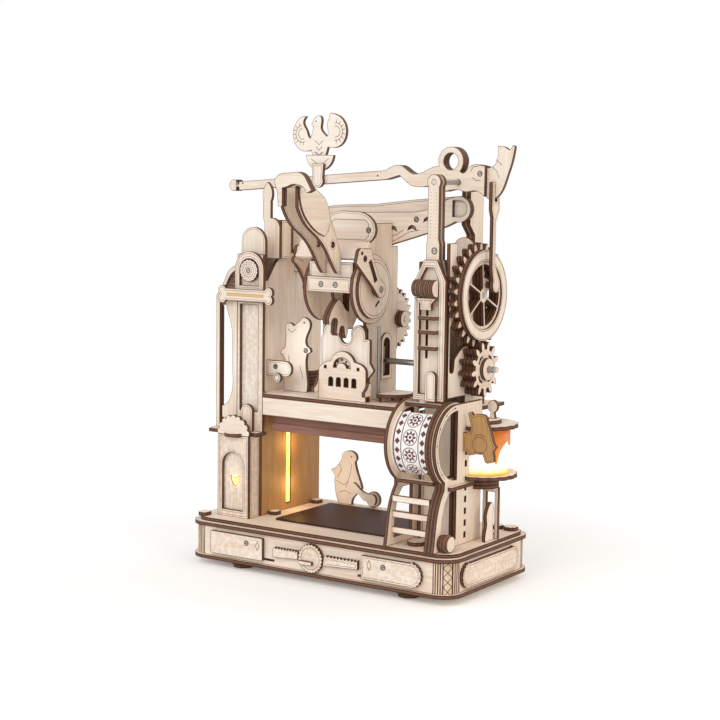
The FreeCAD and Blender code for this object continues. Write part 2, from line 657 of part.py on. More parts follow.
neck("right_neck_front", tower_front + ply)
neck("right_neck_back", tower_front + 3 * ply)
wall_front = tower_front + 2 * ply
plate("right_tower_inner", "side", tower_left,
      [path((wall_front, step_z), (-3, step_z), (-3, shelf_z), (26, shelf_z), (26, tower_z),
      (wall_front, tower_z)),
       disc(k.shaft_y, shaft_z, shaft_hole)])
plate("right_tower_outer", "side", outer_wall,
      [path((wall_front, step_z), (-3, step_z), (-3, shelf_z), (26, shelf_z), (26, tower_z - 24),
            (22, tower_z - 9), (8, tower_z), (-19, tower_z), (-19, tower_z + 15), (wall_front, tower_z + 15)),
       disc(k.shaft_y, shaft_z, shaft_hole),
       disc(k.shaft_y, gear_z, k.drum_axle_radius),
       path_from(k.shaft_y, shaft_z, (-35, 2), (-31.5, -1.5, -28, 2), (-27, 9), [(-20, 14.5), (-10, 19)],
                 (-10, 28), (-35, 35))])
plate("right_back_wall", "front", 26,
      [path((tower_left, shelf_z), (tower_right, shelf_z), (tower_right, tower_z + 6),
      (tower_left + 18, tower_z + 6),
            (tower_left + 8, tower_z + 18, tower_left - 2, tower_z + 6), (tower_left, tower_z))])
group(
    "right_columns",
    *[plate("right_column_%d" % n, "side", x, [
        path((29, shelf_z), (42, shelf_z), (42, tower_z + 56), (cross_y + 2 * ply, tower_z + 56),
             (cross_y + 2 * ply, tower_z + 28), (29, tower_z + 20))]) for n, x in ((1, 82.0), (2, 87.0))])
coil_z = tower_z - 20


def coil_disc(name, x):
    return plate(name, "side", x, [
        path((tower_front, coil_z - 6.2), (tower_front - 9.3, coil_z, tower_front, coil_z + 6.2))])


group(
    "tower_coil",
    *[coil_disc("coil_disc_%d" % n, 76.4 + 4 * n) for n in range(5)],
    plate("coil_stem", "front", tower_front - ply, [
        path((81, coil_z - 17), (91, coil_z - 17), (91, coil_z - 12), (96, coil_z - 7.5), (76, coil_z - 7.5),
             (81, coil_z - 12))]))
plate("tower_rungs", "front", tower_front - 5,
      [box(80.5, z - 1.5, 96.5, z + 1.5, 0.7) for z in (tower_z - 66.5, tower_z - 54, tower_z - 43)], "5")
plate("tower_door", "front", tower_front - ply, [arch(86.5, 96, ring_top, ring_top + 23.5)])
rod("beam_pin", "front", tower_front + ply, pin_x, pin_z, "sizes.beam_pin_radius",
    "sizes.table_front - sizes.ply + sizes.beam_y + 3 * sizes.ply")

# The annex at the right end, its top, and the jar on it.
annex_x = k.annex_x
ladder_right = ring_left + ply + k.ring_width
annex_left = ladder_right + 2 * ply
ring_back = -18.0
annex_back = 5.0
plate("annex_top", "flat", table_z, [box(tower_left, -3, annex_left, 50)])


def ring_outline(radius, back):
    # The ladder leg with the ring on it, closed by the upright edge at the back.
    lean = math.degrees(math.acos((back - ring_y) / radius)) if back - ring_y < radius else 0.0
    steps = [(-64, 0), [(-61.5, 14), (-59, 27), (-55, 38), (-49, 47)]]
    outline = [moved(step, 0, deck_z) for step in steps]
    outline.append(polar(ring_y, ring_z, radius, 238))
    outline.append(polar(ring_y, ring_z, radius, 164) + polar(ring_y, ring_z, radius, 90))
    if lean:
        outline.append(polar(ring_y, ring_z, radius, (90 + lean) / 2) + polar(ring_y, ring_z, radius, lean))
    else:
        outline.append((back, ring_z + radius))
    return path(*outline, (back, deck_z))


def ring_windows(radius, back):
    # The round window of the ring and the one between leg and back, both cut off upright at the back.
    half = math.sqrt(radius ** 2 - (back - ring_y) ** 2)
    return [
        path((back, ring_z + half), (ring_y - radius, ring_z, back, ring_z - half)),
        path_from(0, deck_z, (-53, 6), [(-52.5, 16), (-51, 26), (-46.5, 38), (-40, 44.5)], (back, 44.5),
        (back, 6))]


group(
    "annex_walls",
    plate("annex_front", "front", ring_back, [box(tower_left, deck_z, annex_left, shelf_z + 4)]),
    plate("annex_side", "side", annex_left,
          [ring_outline(k.ring_radius - 1.5, annex_back + ply)] + ring_windows(k.ring_window + 1, ring_y + 1)
          + [box(-17.9, deck_z + z, -15.1, deck_z + z + 4.5) for z in (5, 14.5, 24, 33.5, 43, 62, 71.5)]),
    plate("annex_back", "front", annex_back, [box(tower_left, deck_z, annex_left, table_z)]),
    plate("annex_ledge", "flat", deck_z + 46, [box(annex_x, -44, annex_x + 3.5, -8, 0.5)]))
jar_y = 9.5
jar_z = deck_z + k.jar_level


def half_disc(radius, x=annex_x):
    return path((x, jar_y - radius), (x + radius, jar_y, x, jar_y + radius))


def half_scallop(radius):
    return scallops(annex_x, jar_y, radius, 9, 1.5, -90, 180)


jar_low = jar_z + ply
jar_top = jar_low + k.jar_height
inside = k.jar_radius - k.jar_wall
plate("jar_shelf", "flat", jar_z, [half_scallop(k.jar_radius + 3)])
plate("jar_boss", "flat", jar_z - 3 * ply, [half_disc(14)], "3 * sizes.ply")
plate("jar_glass", "flat", jar_low,
      [path((annex_x, jar_y - k.jar_radius), (annex_x + k.jar_radius, jar_y, annex_x, jar_y + k.jar_radius),
            (annex_x, jar_y + inside), (annex_x + inside, jar_y, annex_x, jar_y - inside))],
      "sizes.jar_height")
group(
    "jar_honey",
    plate("honey_pool", "flat", jar_low, [half_disc(inside - 0.3)]),
    plate("honey_crown", "flat", jar_top - 4 * ply, [half_disc(inside - 0.3)], "4 * sizes.ply"),
    rod("honey_drip", "flat", jar_top - 8 * ply, annex_x + 17.5, 0, "2", "4 * sizes.ply"))
group(
    "jar_lid",
    plate("lid_plate", "flat", jar_top, [half_scallop(k.jar_radius + 3)]),
    plate("lid_disc", "flat", jar_top + ply, [half_disc(15)]),
    plate("lid_knob", "front", 13,
          [path((116, jar_top + 2 * ply), (121, jar_top + 2 * ply), (120, jar_top + 11),
                (123, jar_top + 16.5, 118.5, jar_top + 21), (114, jar_top + 16.5, 117, jar_top + 11))]))
plate("jar_stand", "front", 12,
      [box(annex_x, deck_z, annex_x + 14, jar_z - 3 * ply),
       box(annex_x + 3, deck_z + 4, annex_x + 11, jar_z - 3 * ply - 4)])
plate("jar_bear", "front", jar_y - k.jar_radius - 3 - 1.5 - ply,
      [path_from(
          annex_x, jar_z,
          (0, 24), (3, 24), (4, 21.5), (7, 21), (12, 22.5), (18, 22.5), (19, 20), (20, 17),
          (22, 16), (26, 17), (28, 18), (28, 22), (27, 25), (28, 27.5), (30, 29.5), (28, 31.5),
          [(26, 37), (24, 43), (22, 48), (21, 52)], (19, 54), (16, 54.5), (11, 54), (9, 53),
          (7, 55.5), (4, 54.5), [(5.5, 50), (6.5, 46), (7, 43), (6, 40)], (3, 38.5), (0, 38.5))])
plate("standing_bear", "side", 121.0,
      [path_from(
          0, deck_z,
          (-4.3, 0), (-4.5, 4), [(-3, 9), (-1.8, 14), (-2.6, 20), (0, 27), (3.5, 30.5)], [(6, 31), (8, 29),
          (8.6, 22)],
          [(8, 14), (8.6, 6)], (9.2, 0))])

# The print ring on its ladder.


def ring_plate(name, x):
    return plate(name, "side", x, [ring_outline(k.ring_radius, ring_back)] + ring_windows(k.ring_window,
        -26.0))


ring_plate("ladder_left", ring_left)
group(
    "ladder_right",
    ring_plate("ladder_right_inner", ladder_right),
    ring_plate("ladder_right_outer", ladder_right + ply))
between = ring_left + ply


def band(name, outer, thick, first, sweep):
    inner = outer - thick
    return plate(name, "side", between, [
        path(polar(ring_y, ring_z, inner, first), polar(ring_y, ring_z, outer, first),
             polar(ring_y, ring_z, outer, first + sweep / 2) + polar(ring_y, ring_z, outer, first + sweep),
             polar(ring_y, ring_z, inner, first + sweep),
             polar(ring_y, ring_z, inner, first + sweep / 2) + polar(ring_y, ring_z, inner, first))],
        "sizes.ring_width")


band("print_band", k.band_radius, k.band_thick, 119, 118)
band("band_core", k.band_radius - k.band_thick, 2.2, 119, 118)
plate("ladder_bars", "side", between,
      [box(-56, deck_z + z - 2.5, -53.5, deck_z + z + 2.5) for z in (12.5, 25, 37.5)]
      + [box(-40, ring_z + 28.5, -35.5, ring_z + 31.5), box(-52, ring_z - 30.5, -46, ring_z - 27.5)],
      "sizes.ring_width")

# The big gear with its spoked wheel and crank pin, in front of the outer wall.
gear_x = tower_right + 0.6
gear_y = k.shaft_y
axle_hole = k.drum_axle_radius + k.running_gap


def wheel_window(number):
    # The gap between two straight spokes; the first one leaves a pad for the crank pin.
    first = 60.0 * number + 35
    inner = 14.0 if number == 0 else 6.0
    outer = k.wheel_window
    near = math.degrees(math.asin(1.0 / inner))
    far = math.degrees(math.asin(1.0 / outer))
    return path(
        polar(gear_y, gear_z, inner, first + near), polar(gear_y, gear_z, outer, first + far),
        polar(gear_y, gear_z, outer, first + 30) + polar(gear_y, gear_z, outer, first + 60 - far),
        polar(gear_y, gear_z, inner, first + 60 - near),
        polar(gear_y, gear_z, inner, first + 30) + polar(gear_y, gear_z, inner, first + near))


wheel_windows = [wheel_window(number) for number in range(6)] + [disc(gear_y, gear_z, axle_hole)]
plate("big_gear", "side", gear_x,
      [gear(gear_y, gear_z, k.gear_module, k.gear_teeth, -90)] + wheel_windows, "2 * sizes.ply")
plate("spoked_wheel", "side", gear_x + 2 * ply, [disc(gear_y, gear_z, k.wheel_radius)] + wheel_windows)
plate("wheel_rim", "side", gear_x + 3 * ply,
      [disc(gear_y, gear_z, k.wheel_radius), disc(gear_y, gear_z, k.wheel_window + 2.7)], "sizes.card")
crank_y, crank_z = polar(gear_y, gear_z, k.crank_throw, 57.6)
rod("crank_pin", "side", gear_x + 3 * ply, crank_y, crank_z, "sizes.ply", "1.2 * sizes.ply")
rod("gear_axle", "side", outer_wall, gear_y, gear_z, "sizes.drum_axle_radius", "4 * sizes.ply + 0.6")

# The pinion on the main shaft, with the small gears at its inner end.
pinion_phase = 90 + 180.0 / k.pinion_teeth
plate("pinion", "side", gear_x,
      [gear(k.shaft_y, shaft_z, k.gear_module, k.pinion_teeth, pinion_phase),
      disc(k.shaft_y, shaft_z, k.shaft_radius)],
      "4 * sizes.ply")
rod("pinion_cap", "side", gear_x + 4 * ply, k.shaft_y, shaft_z, "3 * sizes.ply", "sizes.ply",
    "sizes.shaft_radius")
shaft_start = plate_x - 2 * ply - 2
rod("main_shaft", "side", shaft_start, k.shaft_y, shaft_z, "sizes.shaft_radius",
    "sizes.bay_right - sizes.plate_x + sizes.tower_width + 10 * sizes.ply + 2")
small_x = plate_x - ply - 2 * k.side_gap
plate("shaft_pinion", "side", small_x,
      [gear(k.shaft_y, shaft_z, k.inner_module, k.inner_pinion_teeth, k.inner_mesh_angle),
       disc(k.shaft_y, shaft_z, k.shaft_radius)])
inner_phase = k.inner_mesh_angle + 180 + 180.0 / k.inner_teeth
plate("inner_gear", "side", small_x,
      [gear(inner_y, inner_z, k.inner_module, k.inner_teeth, inner_phase),
       disc(inner_y, inner_z, k.drum_axle_radius)])
rod("inner_axle", "side", small_x - 1, inner_y, inner_z, "sizes.drum_axle_radius", "5 * sizes.ply")
rod("inner_cap", "side", plate_x + ply + k.side_gap, inner_y, inner_z, "2.3 * sizes.ply", "2 * sizes.ply",
    "sizes.drum_axle_radius")

# The drum with its bar and flap, and the links at its ends, all on one fixed steel axle.
disc_x = plate_x + ply + k.side_gap
drum_left = -k.drum_left
drum_bore = k.drum_axle_radius + k.running_gap
claw_x = -0.5


def drum_disc(name, x, radius):
    return plate(name, "side", x, [disc(drum_y, drum_z, radius), disc(drum_y, drum_z, drum_bore)])


group(
    "drum_discs",
    drum_disc("drum_disc_left", drum_left, k.drum_radius),
    drum_disc("drum_disc_middle", claw_x - ply, k.drum_radius - 8),
    drum_disc("drum_disc_right", disc_x, k.drum_radius),
    drum_disc("drum_disc_cover", disc_x + ply, k.drum_radius - 4),
    drum_disc("drum_washer", disc_x + 2 * ply, 5))
bar_left = drum_left + ply
bar_y = drum_y - k.drum_radius + 1.5
plate("drum_bar", "front", bar_y, [box(bar_left, drum_z - 2.5, disc_x, drum_z + 10)])
plate("drum_flap", "front", bar_y + ply, [box(bar_left, drum_z + 8, disc_x, drum_z + 22)])
shelf_start = drum_left - 13
link_x = disc_x + 3 * ply
plate("drum_shelf", "side", shelf_start,
      [path((-38, drum_z + 23.5), (-30, drum_z + 36.5), (-32.6, drum_z + 38), (-40.6, drum_z + 25))],
      "sizes.drum_left + 13 + sizes.plate_x + 4 * sizes.ply + sizes.side_gap")
plate("drum_link_right", "side", link_x,
      [path_from(
          drum_y, drum_z,
          (-36.5, 22.5), (-34, 29.5), (-32, 33, -26.5, 33.5), (-18.5, 33.5),
          (-15, 32.5, -13.5, 28), (-3.5, 10), (5.2, 4.4), (4.8, -4.8, -4.8, -4.8), (-12.5, 3)),
       path_from(drum_y, drum_z, (-15.2, 24.5), (-6.2, 8), (-9.8, 6), (-18.8, 22.5)),
       disc(drum_y - 28.5, drum_z + 30, 1.2), disc(drum_y - 24, drum_z + 25.5, 2.3),
       disc(drum_y, drum_z, drum_bore)])
group(
    "drum_link_left",
    plate("scalloped_link", "side", shelf_start - ply,
          [path_from(
              drum_y, drum_z,
              (-2.5, 34.5), (-7, 36, -11.5, 33), (-16.5, 34, -19.2, 29), (-19.8, 26.5, -18, 24.5),
              (-22.5, 22.5, -20, 19), [(-12.5, 11.5), (-6, 2)], (0, -6.5, 6, 0.5), [(4.5, 12.5),
              (1.5, 24.5)]),
           disc(drum_y, drum_z, drum_bore)]),
    rod("link_spacer", "side", shelf_start, drum_y, drum_z, "5", "13",
        "sizes.drum_axle_radius + sizes.running_gap"))
rod("drum_axle", "side", shelf_start - ply - 1, drum_y, drum_z, "sizes.drum_axle_radius",
    "sizes.drum_left + sizes.plate_x + 23")
plate("drum_claw", "side", claw_x,
      [path_from(
          drum_y, drum_z,
          (-6.5, 0), (0, 6.5, 6.5, 0), (6.5, -23.5), (0, -31.5), [(-2, -33.5), (-5, -32.5),
          (-7.5, -34.5)], (-8.5, -38.5), (-10.5, -40.5), (-11.5, -38.5), [(-12.5, -34.5),
          (-13.5, -31), (-16.5, -30), (-19.5, -33.5)], (-21.5, -37.5), (-23.5, -35.5),
          [(-23.5, -31.5), (-23, -24.5), (-26.5, -23), (-31.5, -27.5)], (-34.5, -27.5),
          (-35, -23.5), [(-32.5, -18.5), (-27.5, -12.5), (-22.5, -8.5)], [(-17.5, -9.5),
          (-13.5, -14), (-6.5, -18.5)]),
       disc(drum_y, drum_z, drum_bore)], "2 * sizes.ply")

# The hand lever: two curved arms, the hood that the hand pulls and a blank oval badge.
hood_y = drum_y - k.lever_reach
arm_back = [(-23.5, 24.5), (-30.5, 42.5), (-41.5, 61.5), (-50.5, 74.5)]
arm_top = [(-64.5, 82.5), (-82.5, 82.5)]


def lever_arm(name, x):
    return plate(name, "side", x, [
        path_from(
            drum_y, drum_z,
            (-82.5, 82.5), (-82.5, 66.5), [(-77.5, 58.5), (-68.5, 50), (-58.5, 44), (-48.5, 36.5),
            (-40.5, 27.5), (-34.5, 19.5), (-28.5, 13)], (-23.5, 13),
            arm_back[0], arm_back[1:], *arm_top),
        path_from(drum_y, drum_z, (-43, 52.5), (-41.5, 51, -43, 48.5), (-46.5, 51.5, -43, 52.5)),
        path_from(drum_y, drum_z, (-34, 38), (-33, 35.5, -34.5, 34), (-37.5, 37.5, -34, 38))])


group("lever_arms", lever_arm("lever_arm_left", -8.0), lever_arm("lever_arm_right", 6.0))
plate("lever_hood", "front", hood_y - 2 * ply,
      [path_from(
          0, drum_z,
          (-10, 86), (-6, 90.3, -2, 91.8), (8, 92.5), (15.5, 92, 20, 88), (25.5, 79), (21, 77),
          (18.5, 80.5), (10.5, 83.5, 2.5, 81.5), (-2, 80.5), (-2, 66.5), (-6, 66.5), (-7, 77.5))],
          "2 * sizes.ply")
plate("lever_badge", "side", 9.0,
      [path_from(
          drum_y, drum_z,
          (-82.4, 81.5), [(-81.5, 70.5), (-78, 62.5), (-72, 55.5), (-64, 49.5), (-55, 45),
          (-48.5, 43)], [(-43.5, 49.5), (-42, 55.5), (-42.5, 61.5), (-50.5, 74)], (-64.5, 82))],
      "sizes.card")

# The rocking beam with its ring, end block and horn, and the eagle riding on it.
beam_y = k.beam_y
left_tip = pin_x - k.beam_left
slope = 0.096
beam_low = pin_z + 1.4


def beam_line(x, lift):
    return x, beam_low + slope * (x + 17) + lift if x < 0 else beam_low + lift


bar_low = [beam_line(x, 0) for x in (left_tip + 10.5, 20)]
bar_high = [beam_line(x, k.beam_depth) for x in (left_tip + 10.5, 20)]
tip_x, tip_z = left_tip + 7.5, bar_low[0][1]
plate("beam_bar", "front", beam_y,
      [path(
          (tip_x, tip_z), (left_tip, tip_z + 4, tip_x, tip_z + 8.5), (tip_x, tip_z + 5.8),
          (tip_x + 3, tip_z + 5.8),
          *bar_high,
          *[moved(step, pin_x, pin_z) for step in (
              [(-58, 13.2), (-54, 13), (-48, 9.5), (-42, 6.5), (-36, 6.8), (-30, 9), (-23, 12),
              (-17.8, 12.6)], (-4.8, 27.8, 1.5, 8.8), [(5, 7.5), (8, 10.5), (15, 14.3), (22, 13.3),
              (24, 13)], (24, -11), [(20, -8), (16, -6.5), (8, -7.5), (0, -6), (-8, -6.5),
              (-12, -7.5)], [(-20, -2.5), (-28, -3.5), (-38, -4.2), (-44, -3), (-50, 1), (-55, 5)])],
          *bar_low[::-1], (tip_x + 3, tip_z + 2.8), (tip_x, tip_z + 2.8)),
       disc(pin_x, pin_z, k.beam_pin_radius + k.running_gap),
       disc(pin_x - 7, pin_z + 16.5, 6.7)], "3 * sizes.ply")
rod_z = pin_z - 3.3
rod_mid = k.rod_x + ply / 2
horn_y = beam_y + ply
plate("beam_horn", "front", horn_y,
      [path_from(
          pin_x, pin_z,
          (24, -11.5), [(28, -13.2), (33, -11.5), (38.5, -5), (42, 4), (45.5, 14), (48.5, 28.5)],
          (46.5, 29.2), [(43, 26), (39.5, 28), (36.5, 28.3), (33.5, 28.5)], [(33.6, 22),
          (32, 15.5), (28, 12.2), (24, 12)]),
       disc(rod_mid, rod_z, 1.2)])
eagle_x = -49.0
eagle_low = beam_line(eagle_x, k.beam_depth)[1]
group(
    "eagle",
    plate("eagle_body", "front", beam_y + ply,
          [path_from(
              eagle_x, eagle_low,
              (-13, 47.2), [(-16, 41.2), (-12.5, 35.2), (-11, 31.2), (-9, 29.2)], [(-7, 34.2),
              (-6, 38.2)], (-8, 40.2), [(-6, 44.2), (-3, 47.2), (1, 47.7), (2.5, 44.2), (2, 37.2),
              (5, 33.2), (8, 30.7)], [(9, 34.2), (8, 40.2), (10, 46.2), (11, 50.2)], [(16, 49.2),
              (22, 46.2), (26, 41.2), (27.5, 35.2), (26, 28.2), (23, 24.2), (18, 21.7), (12, 21.2),
              (9, 21.7)], (8, 18.2), (6, 12.2), (6, 5.2), (-5, 5.2), (-5, 12.2), (-8, 19.2),
              [(-14, 18.2), (-20, 19.7), (-25, 25.2), (-27, 32.2), (-25, 40.2), (-21, 45.2),
              (-16, 47.7)])]),
    plate("eagle_scroll", "front", beam_y,
          [path_from(eagle_x, eagle_low, (-11, 15.2), (3, 2.2, 17, 15.2))]))
plate("beam_clasp", "front", beam_y - ply,
      [path_from(eagle_x, eagle_low, (-3, 8), (9, 8), (8, -4), (3, -12, -2, -4))])

# The connecting rod, forked over the horn and hung on a small pin.
fork = 0.3
eye_y, eye_z = gear_y + 5.2, gear_z + 8.2
plate("connecting_rod", "side", k.rod_x,
      [path(polar(eye_y, eye_z, 6, 150), polar(eye_y, eye_z, 6, 270) + polar(eye_y, eye_z, 6, 30),
            (9.5, eye_z + 16), (9.5, rod_z - 27), (14.5, rod_z - 18), (14.5, rod_z + 4),
            (horn_y + ply + fork, rod_z + 4),
            (horn_y + ply + fork, rod_z - 11.2), (horn_y - fork, rod_z - 11.2), (horn_y - fork, rod_z + 4),
            (2.5, rod_z + 4), (2.5, rod_z - 18), (4.8, rod_z - 24), (4.8, eye_z + 13))])
rod("rod_pin", "front", horn_y, rod_mid, rod_z, "1.15", "sizes.ply")

# Lamps and their battery box, which the glowing windows need.
group(
    "lamps",
    plate("lamp_kiosk", "front", kiosk_front + 2 * ply, [disc(*glow, 2.5)], "5"),
    plate("lamp_slot", "side", left_face - ply - 5, [disc(8.5, deck_z + 60, 4.5)], "5"),
    plate("lamp_jar", "flat", jar_low + ply, [disc(annex_x + 6, jar_y, 2.5)], "5"))
plate("battery_box", "flat", wall_z, [box(-34, -18, 34, 18, 2)], "16")

# Pieces that are handled together share a node, as one sub-assembly of separate solids.
group("base_frame", "base_walls", "base_corners")
group("base_trim", "base_medallion", "base_front_trim", "base_side_trim")
group("deck_fittings", "deck_trims", "barrel_ornament")
group("kiosk_walls", "kiosk_front", "kiosk_panel", "kiosk_sides", "kiosk_back")
group("kiosk_roof", "kiosk_gable", "kiosk_shelf")
group("left_tower_walls", "left_outer_wall", "left_back_wall", "left_roof")
group("left_tower_face", "left_tower_frame", "left_tower_panel")
group("left_ornaments", "left_arch_head", "left_rosette", "left_cross_bar", "left_leaf")
group("left_crown", "left_finial", "left_rear_panel")
group("left_bay", "left_side_arch", "left_arch_skin", "left_post")
group("press_table", "table_plate", "table_fascia")
group("right_lower_walls", "right_inner_wall", "annex_walls", "annex_top")
group("arcade", "house_front", "house_back", "house_brackets")
group("pot_bear", "upper_bear", "upper_link")
group("cart_bear", "cavity_bear", "cart_frame", "cart_pin")
group("right_neck", "right_neck_front", "right_neck_back")
group("right_tower_walls", "right_tower_inner", "right_tower_outer", "right_back_wall")
group("tower_ornaments", "tower_coil", "tower_rungs", "tower_door")
group("jar_shelves", "jar_shelf", "jar_boss", "jar_stand", "jar_lid")
group("jar_bears", "jar_bear", "standing_bear")
group("steel_pins", "beam_pin", "gear_axle", "drum_axle")
group("platen", "platen_lower", "platen_upper")
group("crank_wheel", "spoked_wheel", "wheel_rim", "crank_pin")
group("pinions", "pinion", "pinion_cap", "shaft_pinion")
group("idler_gear", "inner_gear", "inner_axle", "inner_cap")
group("drum_bars", "drum_bar", "drum_flap", "drum_shelf")
group("drum_links", "drum_link_left", "drum_link_right")
group("lever_grip", "lever_arms", "lever_badge")
group("beam", "beam_bar", "beam_horn", "beam_clasp")
group("hanging_rod", "connecting_rod", "rod_pin")

doc.recompute()
for item in doc.Objects:
    if "Invalid" in item.State or "Error" in item.State:
        raise RuntimeError("%s failed: %s" % (item.Label, item.State))
for name, item in nodes.items():
    if item.Shape.isNull() or not item.Shape.isValid():
        raise RuntimeError(name + " has no valid shape")

os.makedirs("parts", exist_ok=True)
for name, item in nodes.items():
    item.Shape.exportStep("parts/" + name + ".step")
print(len(nodes), "nodes")
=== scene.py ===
import json
import math
import bpy
import bmesh
from mathutils import Matrix, Vector


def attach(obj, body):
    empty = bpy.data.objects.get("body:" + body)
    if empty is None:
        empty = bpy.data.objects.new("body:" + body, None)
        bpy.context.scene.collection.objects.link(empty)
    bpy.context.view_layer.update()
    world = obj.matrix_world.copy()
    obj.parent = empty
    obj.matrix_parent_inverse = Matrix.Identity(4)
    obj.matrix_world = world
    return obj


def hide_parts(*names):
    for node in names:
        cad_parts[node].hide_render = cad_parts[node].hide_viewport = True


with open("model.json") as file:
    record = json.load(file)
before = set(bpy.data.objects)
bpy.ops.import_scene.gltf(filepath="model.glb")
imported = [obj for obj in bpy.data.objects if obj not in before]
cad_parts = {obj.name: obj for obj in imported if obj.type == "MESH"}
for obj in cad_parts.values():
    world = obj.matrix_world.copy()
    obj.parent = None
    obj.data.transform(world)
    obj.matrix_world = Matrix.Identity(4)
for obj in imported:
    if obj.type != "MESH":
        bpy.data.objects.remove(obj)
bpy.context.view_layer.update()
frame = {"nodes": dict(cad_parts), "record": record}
nodes = frame["nodes"]
bodies = frame["record"]["behaviour"]["bodies"]
bodyOf = {name: body for body, names in bodies.items() for name in names}
mm = 0.001
scene = bpy.context.scene
scene.view_settings.view_transform = "Standard"


# the camera that took the picture: its eye in metres, its lens in mm, its turns in degrees
cameraSet = {"eye": (0.737, -1.1099, 0.3265), "lens": 80.88, "sensor": 36, "farthest": 20,
             "yaw": 33.596, "pitch": 6.424, "roll": 0.7616}


def makeCamera(s):
    data = bpy.data.cameras.new("viewCamera")
    data.lens = s["lens"]
    data.sensor_width = s["sensor"]
    data.clip_end = s["farthest"]
    camera = bpy.data.objects.new("viewCamera", data)
    scene.collection.objects.link(camera)
    turn = Matrix.Rotation(math.radians(s["yaw"]), 4, "Z")
    turn = turn @ Matrix.Rotation(math.radians(90 - s["pitch"]), 4, "X")
    turn = turn @ Matrix.Rotation(math.radians(s["roll"]), 4, "Z")
    camera.matrix_world = Matrix.Translation(s["eye"]) @ turn
    scene.camera = camera


makeCamera(cameraSet)
print("camera made")


# materials

def fromHex(text, alpha=1.0):
    # sRGB hex to the linear colour that the shaders work in
    parts = [int(text[i:i + 2], 16) / 255 for i in (0, 2, 4)]
    return [c / 12.92 if c <= 0.04045 else ((c + 0.055) / 1.055) ** 2.4 for c in parts] + [alpha]


def addNode(mat, kind, settings=None, **links):
    # one node with its settings; each link names a socket and gives a socket to read from, or a value
    node = mat.node_tree.nodes.new(kind)
    for key, value in (settings or {}).items():
        setattr(node, key, value)
    for key, value in links.items():
        byNumber = key[0] == "i" and key[1:].isdigit()
        socket = node.inputs[int(key[1:])] if byNumber else node.inputs[key.replace("_", " ")]
        if isinstance(value, bpy.types.NodeSocket):
            mat.node_tree.links.new(value, socket)
        else:
            socket.default_value = value
    return node.outputs[0]


def newMaterial(name, roughness, metallic=0.0):
    mat = bpy.data.materials.new(name)
    mat.use_nodes = True
    shader = mat.node_tree.nodes["Principled BSDF"]
    shader.inputs["Roughness"].default_value = roughness
    shader.inputs["Metallic"].default_value = metallic
    return mat, shader


def joinTo(mat, out, shader, socket):
    mat.node_tree.links.new(out, shader.inputs[socket])


def colourRamp(mat, factor, stops):
    out = addNode(mat, "ShaderNodeValToRGB", None, Fac=factor)
    band = out.node.color_ramp
    band.elements[0].position, band.elements[0].color = stops[0][0], fromHex(stops[0][1])
    band.elements[1].position, band.elements[1].color = stops[-1][0], fromHex(stops[-1][1])
    for place, colour in stops[1:-1]:
        band.elements.new(place).color = fromHex(colour)
    return out


# birch plywood: sheets of 3 mm, sanded and cut by laser. Widths are in metres. Each noise is given as how
# often it repeats in a metre along and across the grain, its detail, and its share of the tone. A shade box
# is two places along X and two heights, between which the sheet gets painted warm shade and lamplight
plySet = {
    "sheet": 0.003, "scorch": 0.00042, "border": 0.0011, "line": 0.00034,
    "pale": [(0.3, "d6bda6"), (0.44, "e8d5c2"), (0.56, "f1e4d5"), (0.72, "f9f0e6")],
    "paintedLitPale": [(0.3, "ecdccb"), (0.56, "f8eee2"), (0.72, "fdf9f3")],
    "warmLitShade": [(0.3, "a97c4c"), (0.5, "c29761"), (0.72, "d3ac79")],
    "stained": [(0.34, "6d4637"), (0.5, "8b5e4e"), (0.7, "a67764")],
    "engraved": [(0.4, "5c3a27"), (0.6, "815c44")],
    "shallow": [(0.35, "cba36c"), (0.65, "dfc295")],
    "rim": [(0.4, "62412c"), (0.6, "866048")],
    "edge": [(0.1, "865a38"), (0.3, "683e25"), (0.5, "422212"), (0.68, "1a0b05")],
    "noises": (((28, 420, 1), 5.0, 0.48), ((14, 60, 1), 2.0, 0.34), ((1.9, 1.9, 1), 0.0, 0.15)),
    "rosette": {"perMetre": 230.0, "rings": (0.36, 0.14), "half": 0.05, "share": 0.3, "colour": "9a6f48"},
    "soot": {"perMetre": 420.0, "share": 0.35},
    "wallShadeBox": ((-0.0793, -0.078), (0.04, 0.144)),
    "headShadeBox": ((0.11, 0.145), (0.09, 0.2)),
}


